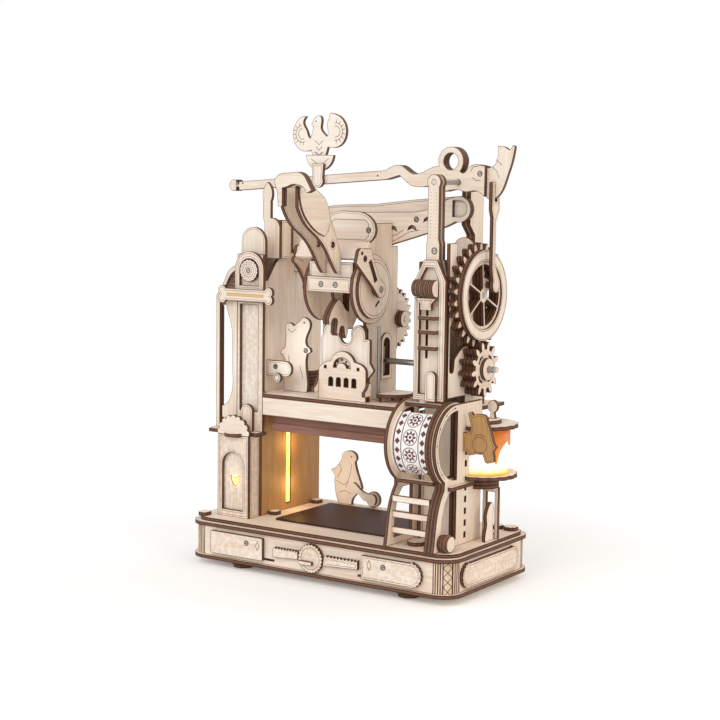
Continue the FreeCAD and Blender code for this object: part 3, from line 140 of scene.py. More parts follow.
def plyFace(name, stops, pattern=False, tan=None):
    # long streaks along the grain (about 2 mm apart), soft clouds, and a tone for each piece
    mat, shader = newMaterial(name, 0.62)
    uv = addNode(mat, "ShaderNodeUVMap", {"uv_map": "ply"})
    noises, tone = [], 0.0
    for scale, detail, share in plySet["noises"]:
        place = addNode(mat, "ShaderNodeMapping", None, Vector=uv, Scale=scale)
        noises.append(addNode(mat, "ShaderNodeTexNoise", None, Vector=place, Scale=1.0, Detail=detail,
                              Roughness=0.6))
        tone = addNode(mat, "ShaderNodeMath", {"operation": "MULTIPLY_ADD"}, i0=noises[-1], i1=share, i2=tone)
    colour = colourRamp(mat, tone, stops)
    if pattern:
        # shallow engraved rosettes of two rings, one about every 5 mm
        s = plySet["rosette"]
        cells = addNode(mat, "ShaderNodeTexVoronoi", {"voronoi_dimensions": "2D"}, Vector=uv,
                        Scale=s["perMetre"])
        outer, inner = (addNode(mat, "ShaderNodeMath", {"operation": "COMPARE"}, i0=cells, i1=radius,
                                i2=s["half"]) for radius in s["rings"])
        ring = addNode(mat, "ShaderNodeMath", {"operation": "MAXIMUM"}, i0=outer, i1=inner)
        share = addNode(mat, "ShaderNodeMath", {"operation": "MULTIPLY"}, i0=ring, i1=s["share"])
        mix = addNode(mat, "ShaderNodeMix", {"data_type": "RGBA"}, i0=share, i6=colour,
                      i7=fromHex(s["colour"]))
        colour = mix.node.outputs[2]
    # painted shade and warm lamplight: a darker, warmer colour inside the shade box
    if tan:
        where = addNode(mat, "ShaderNodeTexCoord").node.outputs["Object"]
        split = addNode(mat, "ShaderNodeSeparateXYZ", None, Vector=where).node
        inShadeBox = 1.0
        for socket, (low, high) in zip((split.outputs[0], split.outputs[2]), tan):
            inside = addNode(mat, "ShaderNodeMath", {"operation": "COMPARE"}, i0=socket, i1=(low + high) / 2,
                             i2=(high - low) / 2)
            inShadeBox = addNode(mat, "ShaderNodeMath", {"operation": "MULTIPLY"}, i0=inside, i1=inShadeBox)
        warmLitShade = colourRamp(mat, tone, plySet["warmLitShade"])
        mix = addNode(mat, "ShaderNodeMix", {"data_type": "RGBA"}, i0=inShadeBox, i6=colour, i7=warmLitShade)
        colour = mix.node.outputs[2]
    bump = addNode(mat, "ShaderNodeBump", None, Height=noises[0], Strength=0.15, Distance=0.0002)
    joinTo(mat, colour, shader, "Base Color")
    joinTo(mat, bump, shader, "Normal")
    return mat


def plyEdge(name, stops):
    # the laser leaves each cut edge charred, and the glue lines between two sheets are darkest
    mat, shader = newMaterial(name, 0.7)
    uv = addNode(mat, "ShaderNodeUVMap", {"uv_map": "ply"})
    fromMiddle = addNode(mat, "ShaderNodeSeparateXYZ", None, Vector=uv).node.outputs[1]
    for operation, number in (("DIVIDE", plySet["sheet"]), ("FRACT", 0.0), ("SUBTRACT", 0.5),
                              ("ABSOLUTE", 0.0)):
        fromMiddle = addNode(mat, "ShaderNodeMath", {"operation": operation}, i0=fromMiddle, i1=number)
    place = addNode(mat, "ShaderNodeTexCoord").node.outputs["Object"]
    s = plySet["soot"]
    soot = addNode(mat, "ShaderNodeTexNoise", None, Vector=place, Scale=s["perMetre"], Detail=3.0)
    level = addNode(mat, "ShaderNodeMath", {"operation": "MULTIPLY_ADD"}, i0=soot, i1=s["share"],
                    i2=fromMiddle)
    bump = addNode(mat, "ShaderNodeBump", None, Height=soot, Strength=0.3, Distance=0.0002)
    joinTo(mat, colourRamp(mat, level, stops), shader, "Base Color")
    joinTo(mat, bump, shader, "Normal")
    return mat


# plywood that is cut through by rows of kerfs, 2 mm apart, so that it bends; woodShare of it is left. A
# corner also has a band of engraved crosses: its middle and half width along the sheet, and the height of
# one cross
kerfSet = {"pitch": 0.002, "woodShare": 0.54, "grain": (400, 40, 1),
           "crossHalf": 0.0004, "borderHalf": 0.0003,
           "wood": [(0.35, "c9a98c"), (0.55, "dfc6ad"), (0.7, "ecd9c4")],
           "cut": [(0.4, "2a150c"), (0.6, "4d2d1c")],
           "cornerBand": (0.0118, 0.0036, 0.0075)}


def kerfedFace(name, s, crosses=None):
    mat, shader = newMaterial(name, 0.65)
    uv = addNode(mat, "ShaderNodeUVMap", {"uv_map": "ply"})
    split = addNode(mat, "ShaderNodeSeparateXYZ", None, Vector=uv).node
    row = addNode(mat, "ShaderNodeMath", {"operation": "DIVIDE"}, i0=split.outputs[0], i1=s["pitch"])
    share = addNode(mat, "ShaderNodeMath", {"operation": "FRACT"}, i0=row)
    cut = addNode(mat, "ShaderNodeMath", {"operation": "GREATER_THAN"}, i0=share, i1=s["woodShare"])
    if crosses:
        middle, half, height = crosses
        side = addNode(mat, "ShaderNodeMath", {"operation": "SUBTRACT"}, i0=split.outputs[0], i1=middle)
        side = addNode(mat, "ShaderNodeMath", {"operation": "ABSOLUTE"}, i0=side)
        outside = addNode(mat, "ShaderNodeMath", {"operation": "GREATER_THAN"}, i0=side, i1=half)
        inside = addNode(mat, "ShaderNodeMath", {"operation": "SUBTRACT"}, i0=1.0, i1=outside)
        rise = split.outputs[1]
        for operation, number in (("DIVIDE", height), ("FRACT", 0.0), ("SUBTRACT", 0.5), ("ABSOLUTE", 0.0),
                                  ("MULTIPLY", 2 * half)):
            rise = addNode(mat, "ShaderNodeMath", {"operation": operation}, i0=rise, i1=number)
        cross = addNode(mat, "ShaderNodeMath", {"operation": "COMPARE"}, i0=side, i1=rise, i2=s["crossHalf"])
        cross = addNode(mat, "ShaderNodeMath", {"operation": "MULTIPLY"}, i0=cross, i1=inside)
        border = addNode(mat, "ShaderNodeMath", {"operation": "COMPARE"}, i0=side, i1=half,
                         i2=s["borderHalf"])
        cut = addNode(mat, "ShaderNodeMath", {"operation": "MULTIPLY"}, i0=cut, i1=outside)
        for line in (cross, border):
            cut = addNode(mat, "ShaderNodeMath", {"operation": "MAXIMUM"}, i0=cut, i1=line)
    place = addNode(mat, "ShaderNodeMapping", None, Vector=uv, Scale=s["grain"])
    streaks = addNode(mat, "ShaderNodeTexNoise", None, Vector=place, Scale=1.0, Detail=3.0)
    # the rows of cuts are near black: charred walls with painted shade in the open slits
    mix = addNode(mat, "ShaderNodeMix", {"data_type": "RGBA"}, i0=cut, i6=colourRamp(mat, streaks, s["wood"]),
                  i7=colourRamp(mat, streaks, s["cut"]))
    bump = addNode(mat, "ShaderNodeBump", {"invert": True}, Height=cut, Strength=0.6, Distance=0.0006)
    joinTo(mat, mix.node.outputs[2], shader, "Base Color")
    joinTo(mat, bump, shader, "Normal")
    return mat


paleFace = plyFace("birchPlywoodFace", plySet["pale"])
patternFace = plyFace("engravedPlywoodFace", plySet["pale"], True)
stainedFace = plyFace("stainedPlywoodFace", plySet["stained"])
# a paler copy of the plywood face for the two bears and the eagle: painted light
paintedLitFace = plyFace("paintedLitPlywoodFace", plySet["paintedLitPale"])
# the wall with the lit slot gets painted shade and warm lamplight on its side towards the bay
wallShadeFace = plyFace("wallPaintedWarmShade", plySet["pale"], tan=plySet["wallShadeBox"])
# the upper of the two bears at the jar gets painted warm shade over its box
headShadeFace = plyFace("headPaintedWarmShade", plySet["pale"], tan=plySet["headShadeBox"])
# what the laser leaves: fine brown lines, a scorched rim round each face, and a faint ochre tone where it
# only skims the wood
engravedLine = plyFace("engravedLine", plySet["engraved"])
scorched = plyFace("scorchedRim", plySet["rim"])
ochre = plyFace("shallowEngraving", plySet["shallow"])
cutEdge = plyEdge("laserCutPlywoodEdge", plySet["edge"])
kerfed = kerfedFace("kerfedPlywood", kerfSet)
cornerKerfed = kerfedFace("kerfedCorner", kerfSet, kerfSet["cornerBand"])


def noiseMaterial(name, roughness, metallic, stops, perMetre, bump, stretch=(1, 1, 1)):
    # a colour that varies a little over the surface, with a fine relief of the same grain
    mat, shader = newMaterial(name, roughness, metallic)
    where = addNode(mat, "ShaderNodeTexCoord").node.outputs["Object"]
    place = addNode(mat, "ShaderNodeMapping", None, Vector=where, Scale=stretch)
    grain = addNode(mat, "ShaderNodeTexNoise", None, Vector=place, Scale=perMetre, Detail=4.0)
    relief = addNode(mat, "ShaderNodeBump", None, Height=grain, Strength=bump, Distance=0.0001)
    joinTo(mat, colourRamp(mat, grain, stops), shader, "Base Color")
    joinTo(mat, relief, shader, "Normal")
    return mat, shader


# bright drawn steel wire: grey, with a faint grain about 1 mm wide
steel = noiseMaterial("drawnSteel", 0.3, 1.0, [(0.3, "929190"), (0.7, "b4b3b1")], 900.0, 0.1)[0]
# hardboard stained dark brown, with a dull shine and fibres about 4 mm long
darkBoard, darkShader = noiseMaterial("stainedHardboard", 0.5, 0.0, [(0.3, "32190e"), (0.7, "4e2c1c")], 260.0,
                                      0.15, (1, 6, 1))
darkShader.inputs["Specular IOR Level"].default_value = 0.1
# matt black moulded plastic with a fine spark texture
blackPlastic = noiseMaterial("mouldedPlastic", 0.55, 0.0, [(0.3, "141414"), (0.7, "202020")], 600.0, 0.2)[0]
# holes and slots that the laser burnt through: dry black char on their walls, and painted shade for the dark
# inside them
charAndHoleShade = noiseMaterial("charAndHoleShade", 0.8, 0.0, [(0.3, "20100a"), (0.7, "3b2115")], 500.0, 0.2)[0]
# screw heads: dull zinc-plated steel
zinc = noiseMaterial("zincPlatedSteel", 0.4, 0.9, [(0.3, "8d8880"), (0.7, "b9b4ab")], 700.0, 0.2)[0]
print("materials made")


def meshObject(name, bm, mats):
    mesh = bpy.data.meshes.new(name)
    bm.to_mesh(mesh)
    bm.free()
    for mat in mats:
        mesh.materials.append(mat)
    piece = bpy.data.objects.new(name, mesh)
    scene.collection.objects.link(piece)
    return piece


# plywood nodes: a merged copy of each solid, with pale faces, charred edges and a UV map in metres. Square
# and flat are how much of a normal lies along an axis, the shares are of a solid's surface, areaError is
# what an inset may change of it, and uvStep moves the grain from solid to solid

dressSet = {"weld": 2e-6, "joinAngle": math.radians(0.4), "sharpAngle": 0.6, "square": 0.99, "flat": 0.9,
            "sheetShare": 0.3, "bentShare": 0.05, "bentReach": 0.015, "areaError": 0.0007,
            "uvStep": (0.31, 0.83)}
faceSlot, edgeSlot, rimSlot, lineSlot, innerSlot, kerfSlot = range(6)    # the materials of a dressed sheet


def sheetAxis(faces):
    # the direction that most of a sheet's surface faces, and the share of slanted faces
    areas = [0.0, 0.0, 0.0]
    total = slanted = 0.0
    for f in faces:
        size = f.calc_area()
        total += size
        for axis in range(3):
            if abs(f.normal[axis]) > dressSet["square"]:
                areas[axis] += size
                break
        else:
            slanted += size
    axis = areas.index(max(areas))
    return (axis if areas[axis] > dressSet["sheetShare"] * total else None), slanted / total


def readSheet(faces, bent):
    # the axis across a sheet, its other axes from long to short, its lowest corner, and whether it is bent
    axis, slanted = sheetAxis(faces)
    corners = [v.co for f in faces for v in f.verts]
    low = [min(c[i] for c in corners) for i in range(3)]
    high = [max(c[i] for c in corners) for i in range(3)]
    isBent = (bool(bent) and slanted > dressSet["bentShare"]
              and high[bent["axis"]] - low[bent["axis"]] > dressSet["bentReach"])
    if isBent:
        axis = bent["axis"]
    others = sorted((i for i in range(3) if i != axis), key=lambda i: low[i] - high[i])
    return axis, others, low, isBent


def islands(bm):
    # the separate solids of a mesh, always in the order of their faces. Solids that touch share edges of
    # more than two faces, which aren't crossed
    for f in bm.faces:
        f.tag = False
    for first in bm.faces:
        if first.tag:
            continue
        first.tag = True
        found = [first]
        for f in found:
            for e in f.edges:
                if len(e.link_faces) == 2:
                    for other in e.link_faces:
                        if not other.tag:
                            other.tag = True
                            found.append(other)
        yield found


def numberSolids(bm):
    # each solid gets its own number and its own corners
    bm.faces.layers.int.new("solid")
    for number, faces in enumerate(list(islands(bm)), 1):
        for f in bmesh.ops.split(bm, geom=faces, use_only_faces=True)["geom"]:
            if isinstance(f, bmesh.types.BMFace):
                f[bm.faces.layers.int["solid"]] = number


def bentPlace(co, bent):
    # the distance along a bent sheet, from the angle round its centre or from both of its long directions
    u, v = [co[i] for i in range(3) if i != bent["axis"]]
    if "centre" not in bent:
        return u + v
    if bent.get("mirror"):
        u, v = abs(u), abs(v)
    return bent["radius"] * math.atan2(v - bent["centre"][1], u - bent["centre"][0])


def insetSheet(bm, number, steps):
    # rings inside the outline of a sheet's faces; they are left out where the sheet is too narrow for them
    trial = bm.copy()
    layer = trial.faces.layers.int["solid"]
    before = sum(f.calc_area() for f in trial.faces if f[layer] == number)
    for width, slot in steps:
        faces = [f for f in trial.faces if f[layer] == number and f.material_index == faceSlot]
        ring = bmesh.ops.inset_region(trial, faces=faces, thickness=width, use_boundary=True,
                                      use_even_offset=True)
        for f in ring["faces"]:
            f[layer] = number
            f.material_index = slot
    after = sum(f.calc_area() for f in trial.faces if f[layer] == number)
    if abs(after - before) > before * dressSet["areaError"]:
        trial.free()
        return bm
    bm.free()
    return trial


def dressPly(name, look):
    bm = bmesh.new()
    bm.from_mesh(nodes[name].data)
    bmesh.ops.remove_doubles(bm, verts=bm.verts[:], dist=dressSet["weld"])
    numberSolids(bm)
    bmesh.ops.dissolve_limit(bm, angle_limit=dressSet["joinAngle"], verts=bm.verts[:], edges=bm.edges[:])
    bmesh.ops.triangulate(bm, faces=[f for f in bm.faces if len(f.verts) > 4])
    layer = bm.faces.layers.int["solid"]
    bent = look.get("bent")
    solids = {}
    for f in bm.faces:
        solids.setdefault(f[layer], []).append(f)
    sheets = {}
    for number, faces in solids.items():
        axis, others, low, isBent = sheets[number] = readSheet(faces, bent)
        for f in faces:
            flat = axis is not None and abs(f.normal[axis]) > dressSet["flat"]
            if isBent:
                f.material_index = edgeSlot if flat else kerfSlot
            else:
                f.material_index = faceSlot if flat or axis is None else edgeSlot
    for number, (axis, others, low, isBent) in sheets.items():
        if axis is not None and not isBent:
            bm = insetSheet(bm, number, [(plySet["scorch"], rimSlot)])
            if look.get("border"):
                bm = insetSheet(bm, number, [(plySet["border"], innerSlot), (plySet["line"], lineSlot)])
    layer = bm.faces.layers.int["solid"]
    bm.normal_update()
    uvLayer = bm.loops.layers.uv.new("ply")
    uStep, vStep = dressSet["uvStep"]
    for f in bm.faces:
        number = f[layer]
        axis, others, low, isBent = sheets[number]
        f.smooth = f.material_index in (edgeSlot, kerfSlot)
        for loop in f.loops:
            co = loop.vert.co
            if f.material_index == kerfSlot:
                loop[uvLayer].uv = (bentPlace(co, bent), co[bent["axis"]])
            elif f.material_index == edgeSlot:
                loop[uvLayer].uv = (co[others[0]], co[axis] - low[axis])
            else:
                loop[uvLayer].uv = (co[others[0]] + uStep * number, co[others[1]] + vStep * number)
    for e in bm.edges:
        e.smooth = len(e.link_faces) == 2 and e.calc_face_angle(1.0) < dressSet["sharpAngle"]
    face = look.get("face", paleFace)
    mats = (face, look.get("edge", cutEdge), scorched, engravedLine, face, look.get("kerf", kerfed))
    piece = meshObject(name + "Ply", bm, mats)
    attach(piece, bodyOf[name])
    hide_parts(name)


# each node's look: its face, edge and kerf material, an engraved border, and the axis and centre of a bent
# sheet
plyLooks = {
    "base_frame": {"bent": {"axis": 2, "centre": (0.1125, 0.0495), "radius": 0.015, "mirror": True},
                   "kerf": cornerKerfed},
    "band_core": {"bent": {"axis": 0, "centre": (-0.0315, 0.1205), "radius": 0.027}},
    "left_bay": {"bent": {"axis": 1}},
    "left_inner_wall": {"face": wallShadeFace},
    "platen": {"face": stainedFace, "edge": stainedFace},
}
for face, names in ((patternFace, ("left_tower_face", "kiosk_walls", "base_trim")),
                    (paleFace, ("sign_board", "arcade", "kiosk_roof", "left_ornaments", "crosshead",
                                "drum_bars", "lever_hood", "lever_grip", "beam", "right_tower_frame",
                                "right_neck", "hanging_rod", "drum_links", "left_crown", "fan_shelf",
                                "tower_ornaments")),
                    (paintedLitFace, ("pot_bear", "cart_bear", "eagle")),
                    (headShadeFace, ("jar_bears",))):
    for name in names:
        plyLooks[name] = {"border": True, "face": face}
for part in frame["record"]["subparts"]:
    if part["material_slot"] == "plywood":
        dressPly(part["node"], plyLooks.get(part["node"], {}))
print("plywood dressed")


def giveMaterial(name, mat):
    data = nodes[name].data
    data.materials.clear()
    data.materials.append(mat)


for name, mat in (("lift_rods", steel), ("main_shaft", steel), ("steel_pins", steel),
                  ("bed_plate", darkBoard), ("battery_box", blackPlastic)):
    giveMaterial(name, mat)


def newPiece(name, bm, body, mats, replaced=()):
    bmesh.ops.recalc_face_normals(bm, faces=bm.faces[:])
    piece = meshObject(name, bm, mats)
    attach(piece, body)
    if replaced:
        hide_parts(*replaced)


# the printed band: maroon rosettes, lozenges and stripes on white card, all in metres. The heart, the
# circle and the stripes are a place and half a width; the lozenge is its place, half height and half width

printSet = {"centre": (-0.0315, 0.1205), "radius": 0.028, "row": 0.0145, "rowsBelow": 5, "middle": 0.086,
            "petals": 8.0, "petalDepth": 0.0011, "flower": 0.0042, "heart": (0.0018, 0.0005),
            "circle": (0.0062, 0.00035), "lozenge": (0.0112, 0.0066, 0.0024),
            "stripes": ((0.0078, 0.0004), (0.0148, 0.0006)), "card": "f3efec", "ink": "5e2b31"}


def printedCard(s):
    # offset print on smooth white card, with an even matt ink
    mat, shader = newMaterial("printedCard", 0.55)
    uv = addNode(mat, "ShaderNodeUVMap", {"uv_map": "print"})
    split = addNode(mat, "ShaderNodeSeparateXYZ", None, Vector=uv).node
    x = addNode(mat, "ShaderNodeMath", {"operation": "SUBTRACT"}, i0=split.outputs[0], i1=s["middle"])
    y = split.outputs[1]
    for operation, number in (("DIVIDE", s["row"]), ("FRACT", 0.0), ("SUBTRACT", 0.5),
                              ("MULTIPLY", s["row"])):
        y = addNode(mat, "ShaderNodeMath", {"operation": operation}, i0=y, i1=number)
    # a flower with a ring in its heart and a circle round it
    angle = addNode(mat, "ShaderNodeMath", {"operation": "ARCTAN2"}, i0=y, i1=x)
    turns = addNode(mat, "ShaderNodeMath", {"operation": "MULTIPLY"}, i0=angle, i1=s["petals"])
    petal = addNode(mat, "ShaderNodeMath", {"operation": "COSINE"}, i0=turns)
    spot = addNode(mat, "ShaderNodeCombineXYZ", None, X=x, Y=y)
    radius = addNode(mat, "ShaderNodeVectorMath", {"operation": "LENGTH"}, i0=spot).node.outputs["Value"]
    reach = addNode(mat, "ShaderNodeMath", {"operation": "MULTIPLY_ADD"}, i0=petal, i1=s["petalDepth"],
                    i2=s["flower"])
    flower = addNode(mat, "ShaderNodeMath", {"operation": "LESS_THAN"}, i0=radius, i1=reach)
    heart, circle = (addNode(mat, "ShaderNodeMath", {"operation": "COMPARE"}, i0=radius, i1=place, i2=half)
                     for place, half in (s["heart"], s["circle"]))
    ink = addNode(mat, "ShaderNodeMath", {"operation": "SUBTRACT", "use_clamp": True}, i0=flower, i1=heart)
    # lozenges and stripes at both sides, two lozenges to a row
    side = addNode(mat, "ShaderNodeMath", {"operation": "ABSOLUTE"}, i0=x)
    place, height, width = s["lozenge"]
    across = addNode(mat, "ShaderNodeMath", {"operation": "SUBTRACT"}, i0=side, i1=place)
    across = addNode(mat, "ShaderNodeMath", {"operation": "ABSOLUTE"}, i0=across)
    along = split.outputs[1]
    for operation, number in (("DIVIDE", s["row"] / 2), ("FRACT", 0.0), ("SUBTRACT", 0.5),
                              ("ABSOLUTE", 0.0)):
        along = addNode(mat, "ShaderNodeMath", {"operation": operation}, i0=along, i1=number)
    spread = addNode(mat, "ShaderNodeMath", {"operation": "MULTIPLY_ADD"}, i0=along, i1=height, i2=across)
    lozenge = addNode(mat, "ShaderNodeMath", {"operation": "LESS_THAN"}, i0=spread, i1=width)
    stripes = [addNode(mat, "ShaderNodeMath", {"operation": "COMPARE"}, i0=side, i1=place, i2=half)
               for place, half in s["stripes"]]
    for shape in (circle, lozenge, *stripes):
        ink = addNode(mat, "ShaderNodeMath", {"operation": "MAXIMUM"}, i0=ink, i1=shape)
    mix = addNode(mat, "ShaderNodeMix", {"data_type": "RGBA"}, i0=ink, i6=fromHex(s["card"]),
                  i7=fromHex(s["ink"]))
    joinTo(mat, mix.node.outputs[2], shader, "Base Color")
    return mat


def printBand(s):
    bm = bmesh.new()
    bm.from_mesh(nodes["print_band"].data)
    bmesh.ops.remove_doubles(bm, verts=bm.verts[:], dist=1e-6)
    uvLayer = bm.loops.layers.uv.new("print")
    for f in bm.faces:
        f.smooth = abs(f.normal.x) < 0.5
        for loop in f.loops:
            co = loop.vert.co
            angle = math.atan2(co.z - s["centre"][1], -(co.y - s["centre"][0]))
            loop[uvLayer].uv = (co.x, s["radius"] * angle + s["rowsBelow"] * s["row"])
    for e in bm.edges:
        e.smooth = e.calc_face_angle(1.0) < dressSet["sharpAngle"]
    newPiece("printedBand", bm, "frame", [printedCard(s)], ("print_band",))


printBand(printSet)


# the jar: a clear bent sheet, an amber filling that runs down inside it, and a frosted film behind that; the
# filling and the film glow with painted light.
# Sizes are in metres; a drip is its place round the jar, its length and half its width, both angles in
# half turns

jarSet = {"centre": (0.112, 0.0095), "foot": 0.094, "head": 0.131, "floor": 0.0942, "pool": 0.0952,
          "level": 0.1205, "top": 0.1305, "radius": 0.0221, "filmRadius": 0.0204, "thickness": 0.0012,
          "steps": 64, "wave": 0.0011, "waves": 23,
          "drips": ((-0.16, 0.009, 0.075), (-0.17, 0.0095, 0.03), (-0.38, 0.006, 0.06), (0.12, 0.0045, 0.05),
                    (0.33, 0.008, 0.05)),
          "paintedFilmGlow": [(0.06, "f0cf5c"), (0.13, "fbeeb0"), (0.22, "fdfcf4"), (0.6, "f8faff")],
          "amber": [(0.3, "f5bb22"), (0.62, "e78c12"), (1.0, "cd6c0a")]}


def clearSheet():
    # clear polymer sheet: nearly invisible, with a soft shine and faint smears
    mat, shader = newMaterial("clearSheet", 0.1)
    where = addNode(mat, "ShaderNodeTexCoord").node.outputs["Object"]
    smear = addNode(mat, "ShaderNodeTexNoise", None, Vector=where, Scale=160.0, Detail=2.0)
    joinTo(mat, colourRamp(mat, smear, [(0.3, "e3eaee"), (0.7, "f6f9fa")]), shader, "Base Color")
    shader.inputs["Alpha"].default_value = 0.025
    return mat


def glowMaterial(name, roughness, perMetre, cloudShare, stops, strength):
    # painted light: a glow whose colour climbs with the height in the jar, through soft clouds
    mat, shader = newMaterial(name, roughness)
    where = addNode(mat, "ShaderNodeTexCoord").node.outputs["Object"]
    height = addNode(mat, "ShaderNodeSeparateXYZ", None, Vector=where).node.outputs[2]
    share = addNode(mat, "ShaderNodeMapRange", None, i0=height, i1=jarSet["foot"], i2=jarSet["head"])
    cloud = addNode(mat, "ShaderNodeTexNoise", None, Vector=where, Scale=perMetre, Detail=2.0)
    level = addNode(mat, "ShaderNodeMath", {"operation": "MULTIPLY_ADD"}, i0=cloud, i1=cloudShare, i2=share)
    colour = colourRamp(mat, level, stops)
    joinTo(mat, colour, shader, "Base Color")
    joinTo(mat, colour, shader, "Emission Color")
    shader.inputs["Emission Strength"].default_value = strength
    return mat, shader


# frosted film with painted light from the lamp below: it glows amber at its foot and warm white above
frostedFilmPaintedGlow = glowMaterial("frostedFilmPaintedGlow", 0.6, 120.0, 0.14, jarSet["paintedFilmGlow"], 0.55)[0]
# translucent amber resin: orange where it is thick, yellow where it thins, with a painted glow of light
# through it
amberResinPaintedGlow, amberShader = glowMaterial("amberResinPaintedGlow", 0.3, 90.0, 0.4, jarSet["amber"], 0.35)
amberShader.inputs["Specular IOR Level"].default_value = 0.2


def jarSkirt(bm, s, radius, low, high):
    # half a cylinder inside the jar, as a spun edge
    x, y = s["centre"]
    ends = [bm.verts.new((x, y - radius, z)) for z in (low, high)]
    start = bm.edges.new(ends)
    bmesh.ops.spin(bm, geom=ends + [start], cent=(x, y, 0), axis=(0, 0, 1), angle=math.pi, steps=s["steps"],
                   use_merge=False)


def thicken(bm, thickness):
    bmesh.ops.remove_doubles(bm, verts=bm.verts[:], dist=1e-6)
    bmesh.ops.recalc_face_normals(bm, faces=bm.faces[:])
    bmesh.ops.solidify(bm, geom=bm.faces[:], thickness=thickness)
    for f in bm.faces:
        f.smooth = True


def fillJar(s):
    bm = bmesh.new()
    jarSkirt(bm, s, s["radius"], s["level"], s["top"])
    x, y = s["centre"]
    for v in bm.verts:
        if v.co.z < s["level"] + 1e-5:
            turn = math.atan2(v.co.y - y, v.co.x - x) / math.pi
            v.co.z += s["wave"] * math.sin(turn * s["waves"])
            for place, length, width in s["drips"]:
                v.co.z -= length * math.exp(-((turn - place) / width) ** 2)
    jarSkirt(bm, s, s["radius"], s["floor"], s["pool"])
    thicken(bm, s["thickness"])
    newPiece("honeyFilling", bm, "frame", [amberResinPaintedGlow], ("jar_honey",))
    bm = bmesh.new()
    jarSkirt(bm, s, s["filmRadius"], s["floor"], s["top"])
    thicken(bm, s["thickness"])
    newPiece("jarLiner", bm, "frame", [frostedFilmPaintedGlow])


giveMaterial("jar_glass", clearSheet())
fillJar(jarSet)


# each lamp's diffuser as its middle and its size, in mm

lampSet = {"kiosk": ((-95.5, -42.9, 73), (9, 2.6, 13)), "slot": ((-80.9, 8.5, 86.5), (2.6, 6.4, 81)),
           "jar": ((116.5, 9.5, 98.6), (5, 5, 2.6))}


def lampGlow():
    # a warm lamp behind a thin diffuser, brighter in the middle of its clouds
    mat, shader = newMaterial("warmDiffuser", 0.5)
    where = addNode(mat, "ShaderNodeTexCoord").node.outputs["Object"]
    cloud = addNode(mat, "ShaderNodeTexNoise", None, Vector=where, Scale=120.0, Detail=1.0)
    colour = colourRamp(mat, cloud, [(0.35, "f7c948"), (0.6, "ffe98f")])
    joinTo(mat, colour, shader, "Base Color")
    joinTo(mat, colour, shader, "Emission Color")
    shader.inputs["Emission Strength"].default_value = 1.1
    return mat


def makeDiffusers(s):
    bm = bmesh.new()
    for middle, size in s.values():
        place = Matrix.Translation([n * mm for n in middle]) @ Matrix.Diagonal([n * mm for n in size] + [1])
        bmesh.ops.create_cube(bm, size=1, matrix=place)
    bmesh.ops.bevel(bm, geom=bm.edges[:], offset=0.3 * mm, affect="EDGES", segments=2, profile=0.5,
                    material=-1)
    newPiece("warmLamps", bm, "frame", [lampGlow()], ("lamps",))


makeDiffusers(lampSet)
print("band, jar and lamps made")


# engraved lines, screws and holes, as thin pieces on the sheets. Each mark is its kind, the way it faces,
# the plane it lies on and its numbers, all in mm: dots, rings and screws as u, v, radius, arcs also with
# their first angle and sweep in degrees, the rest as the points of a line

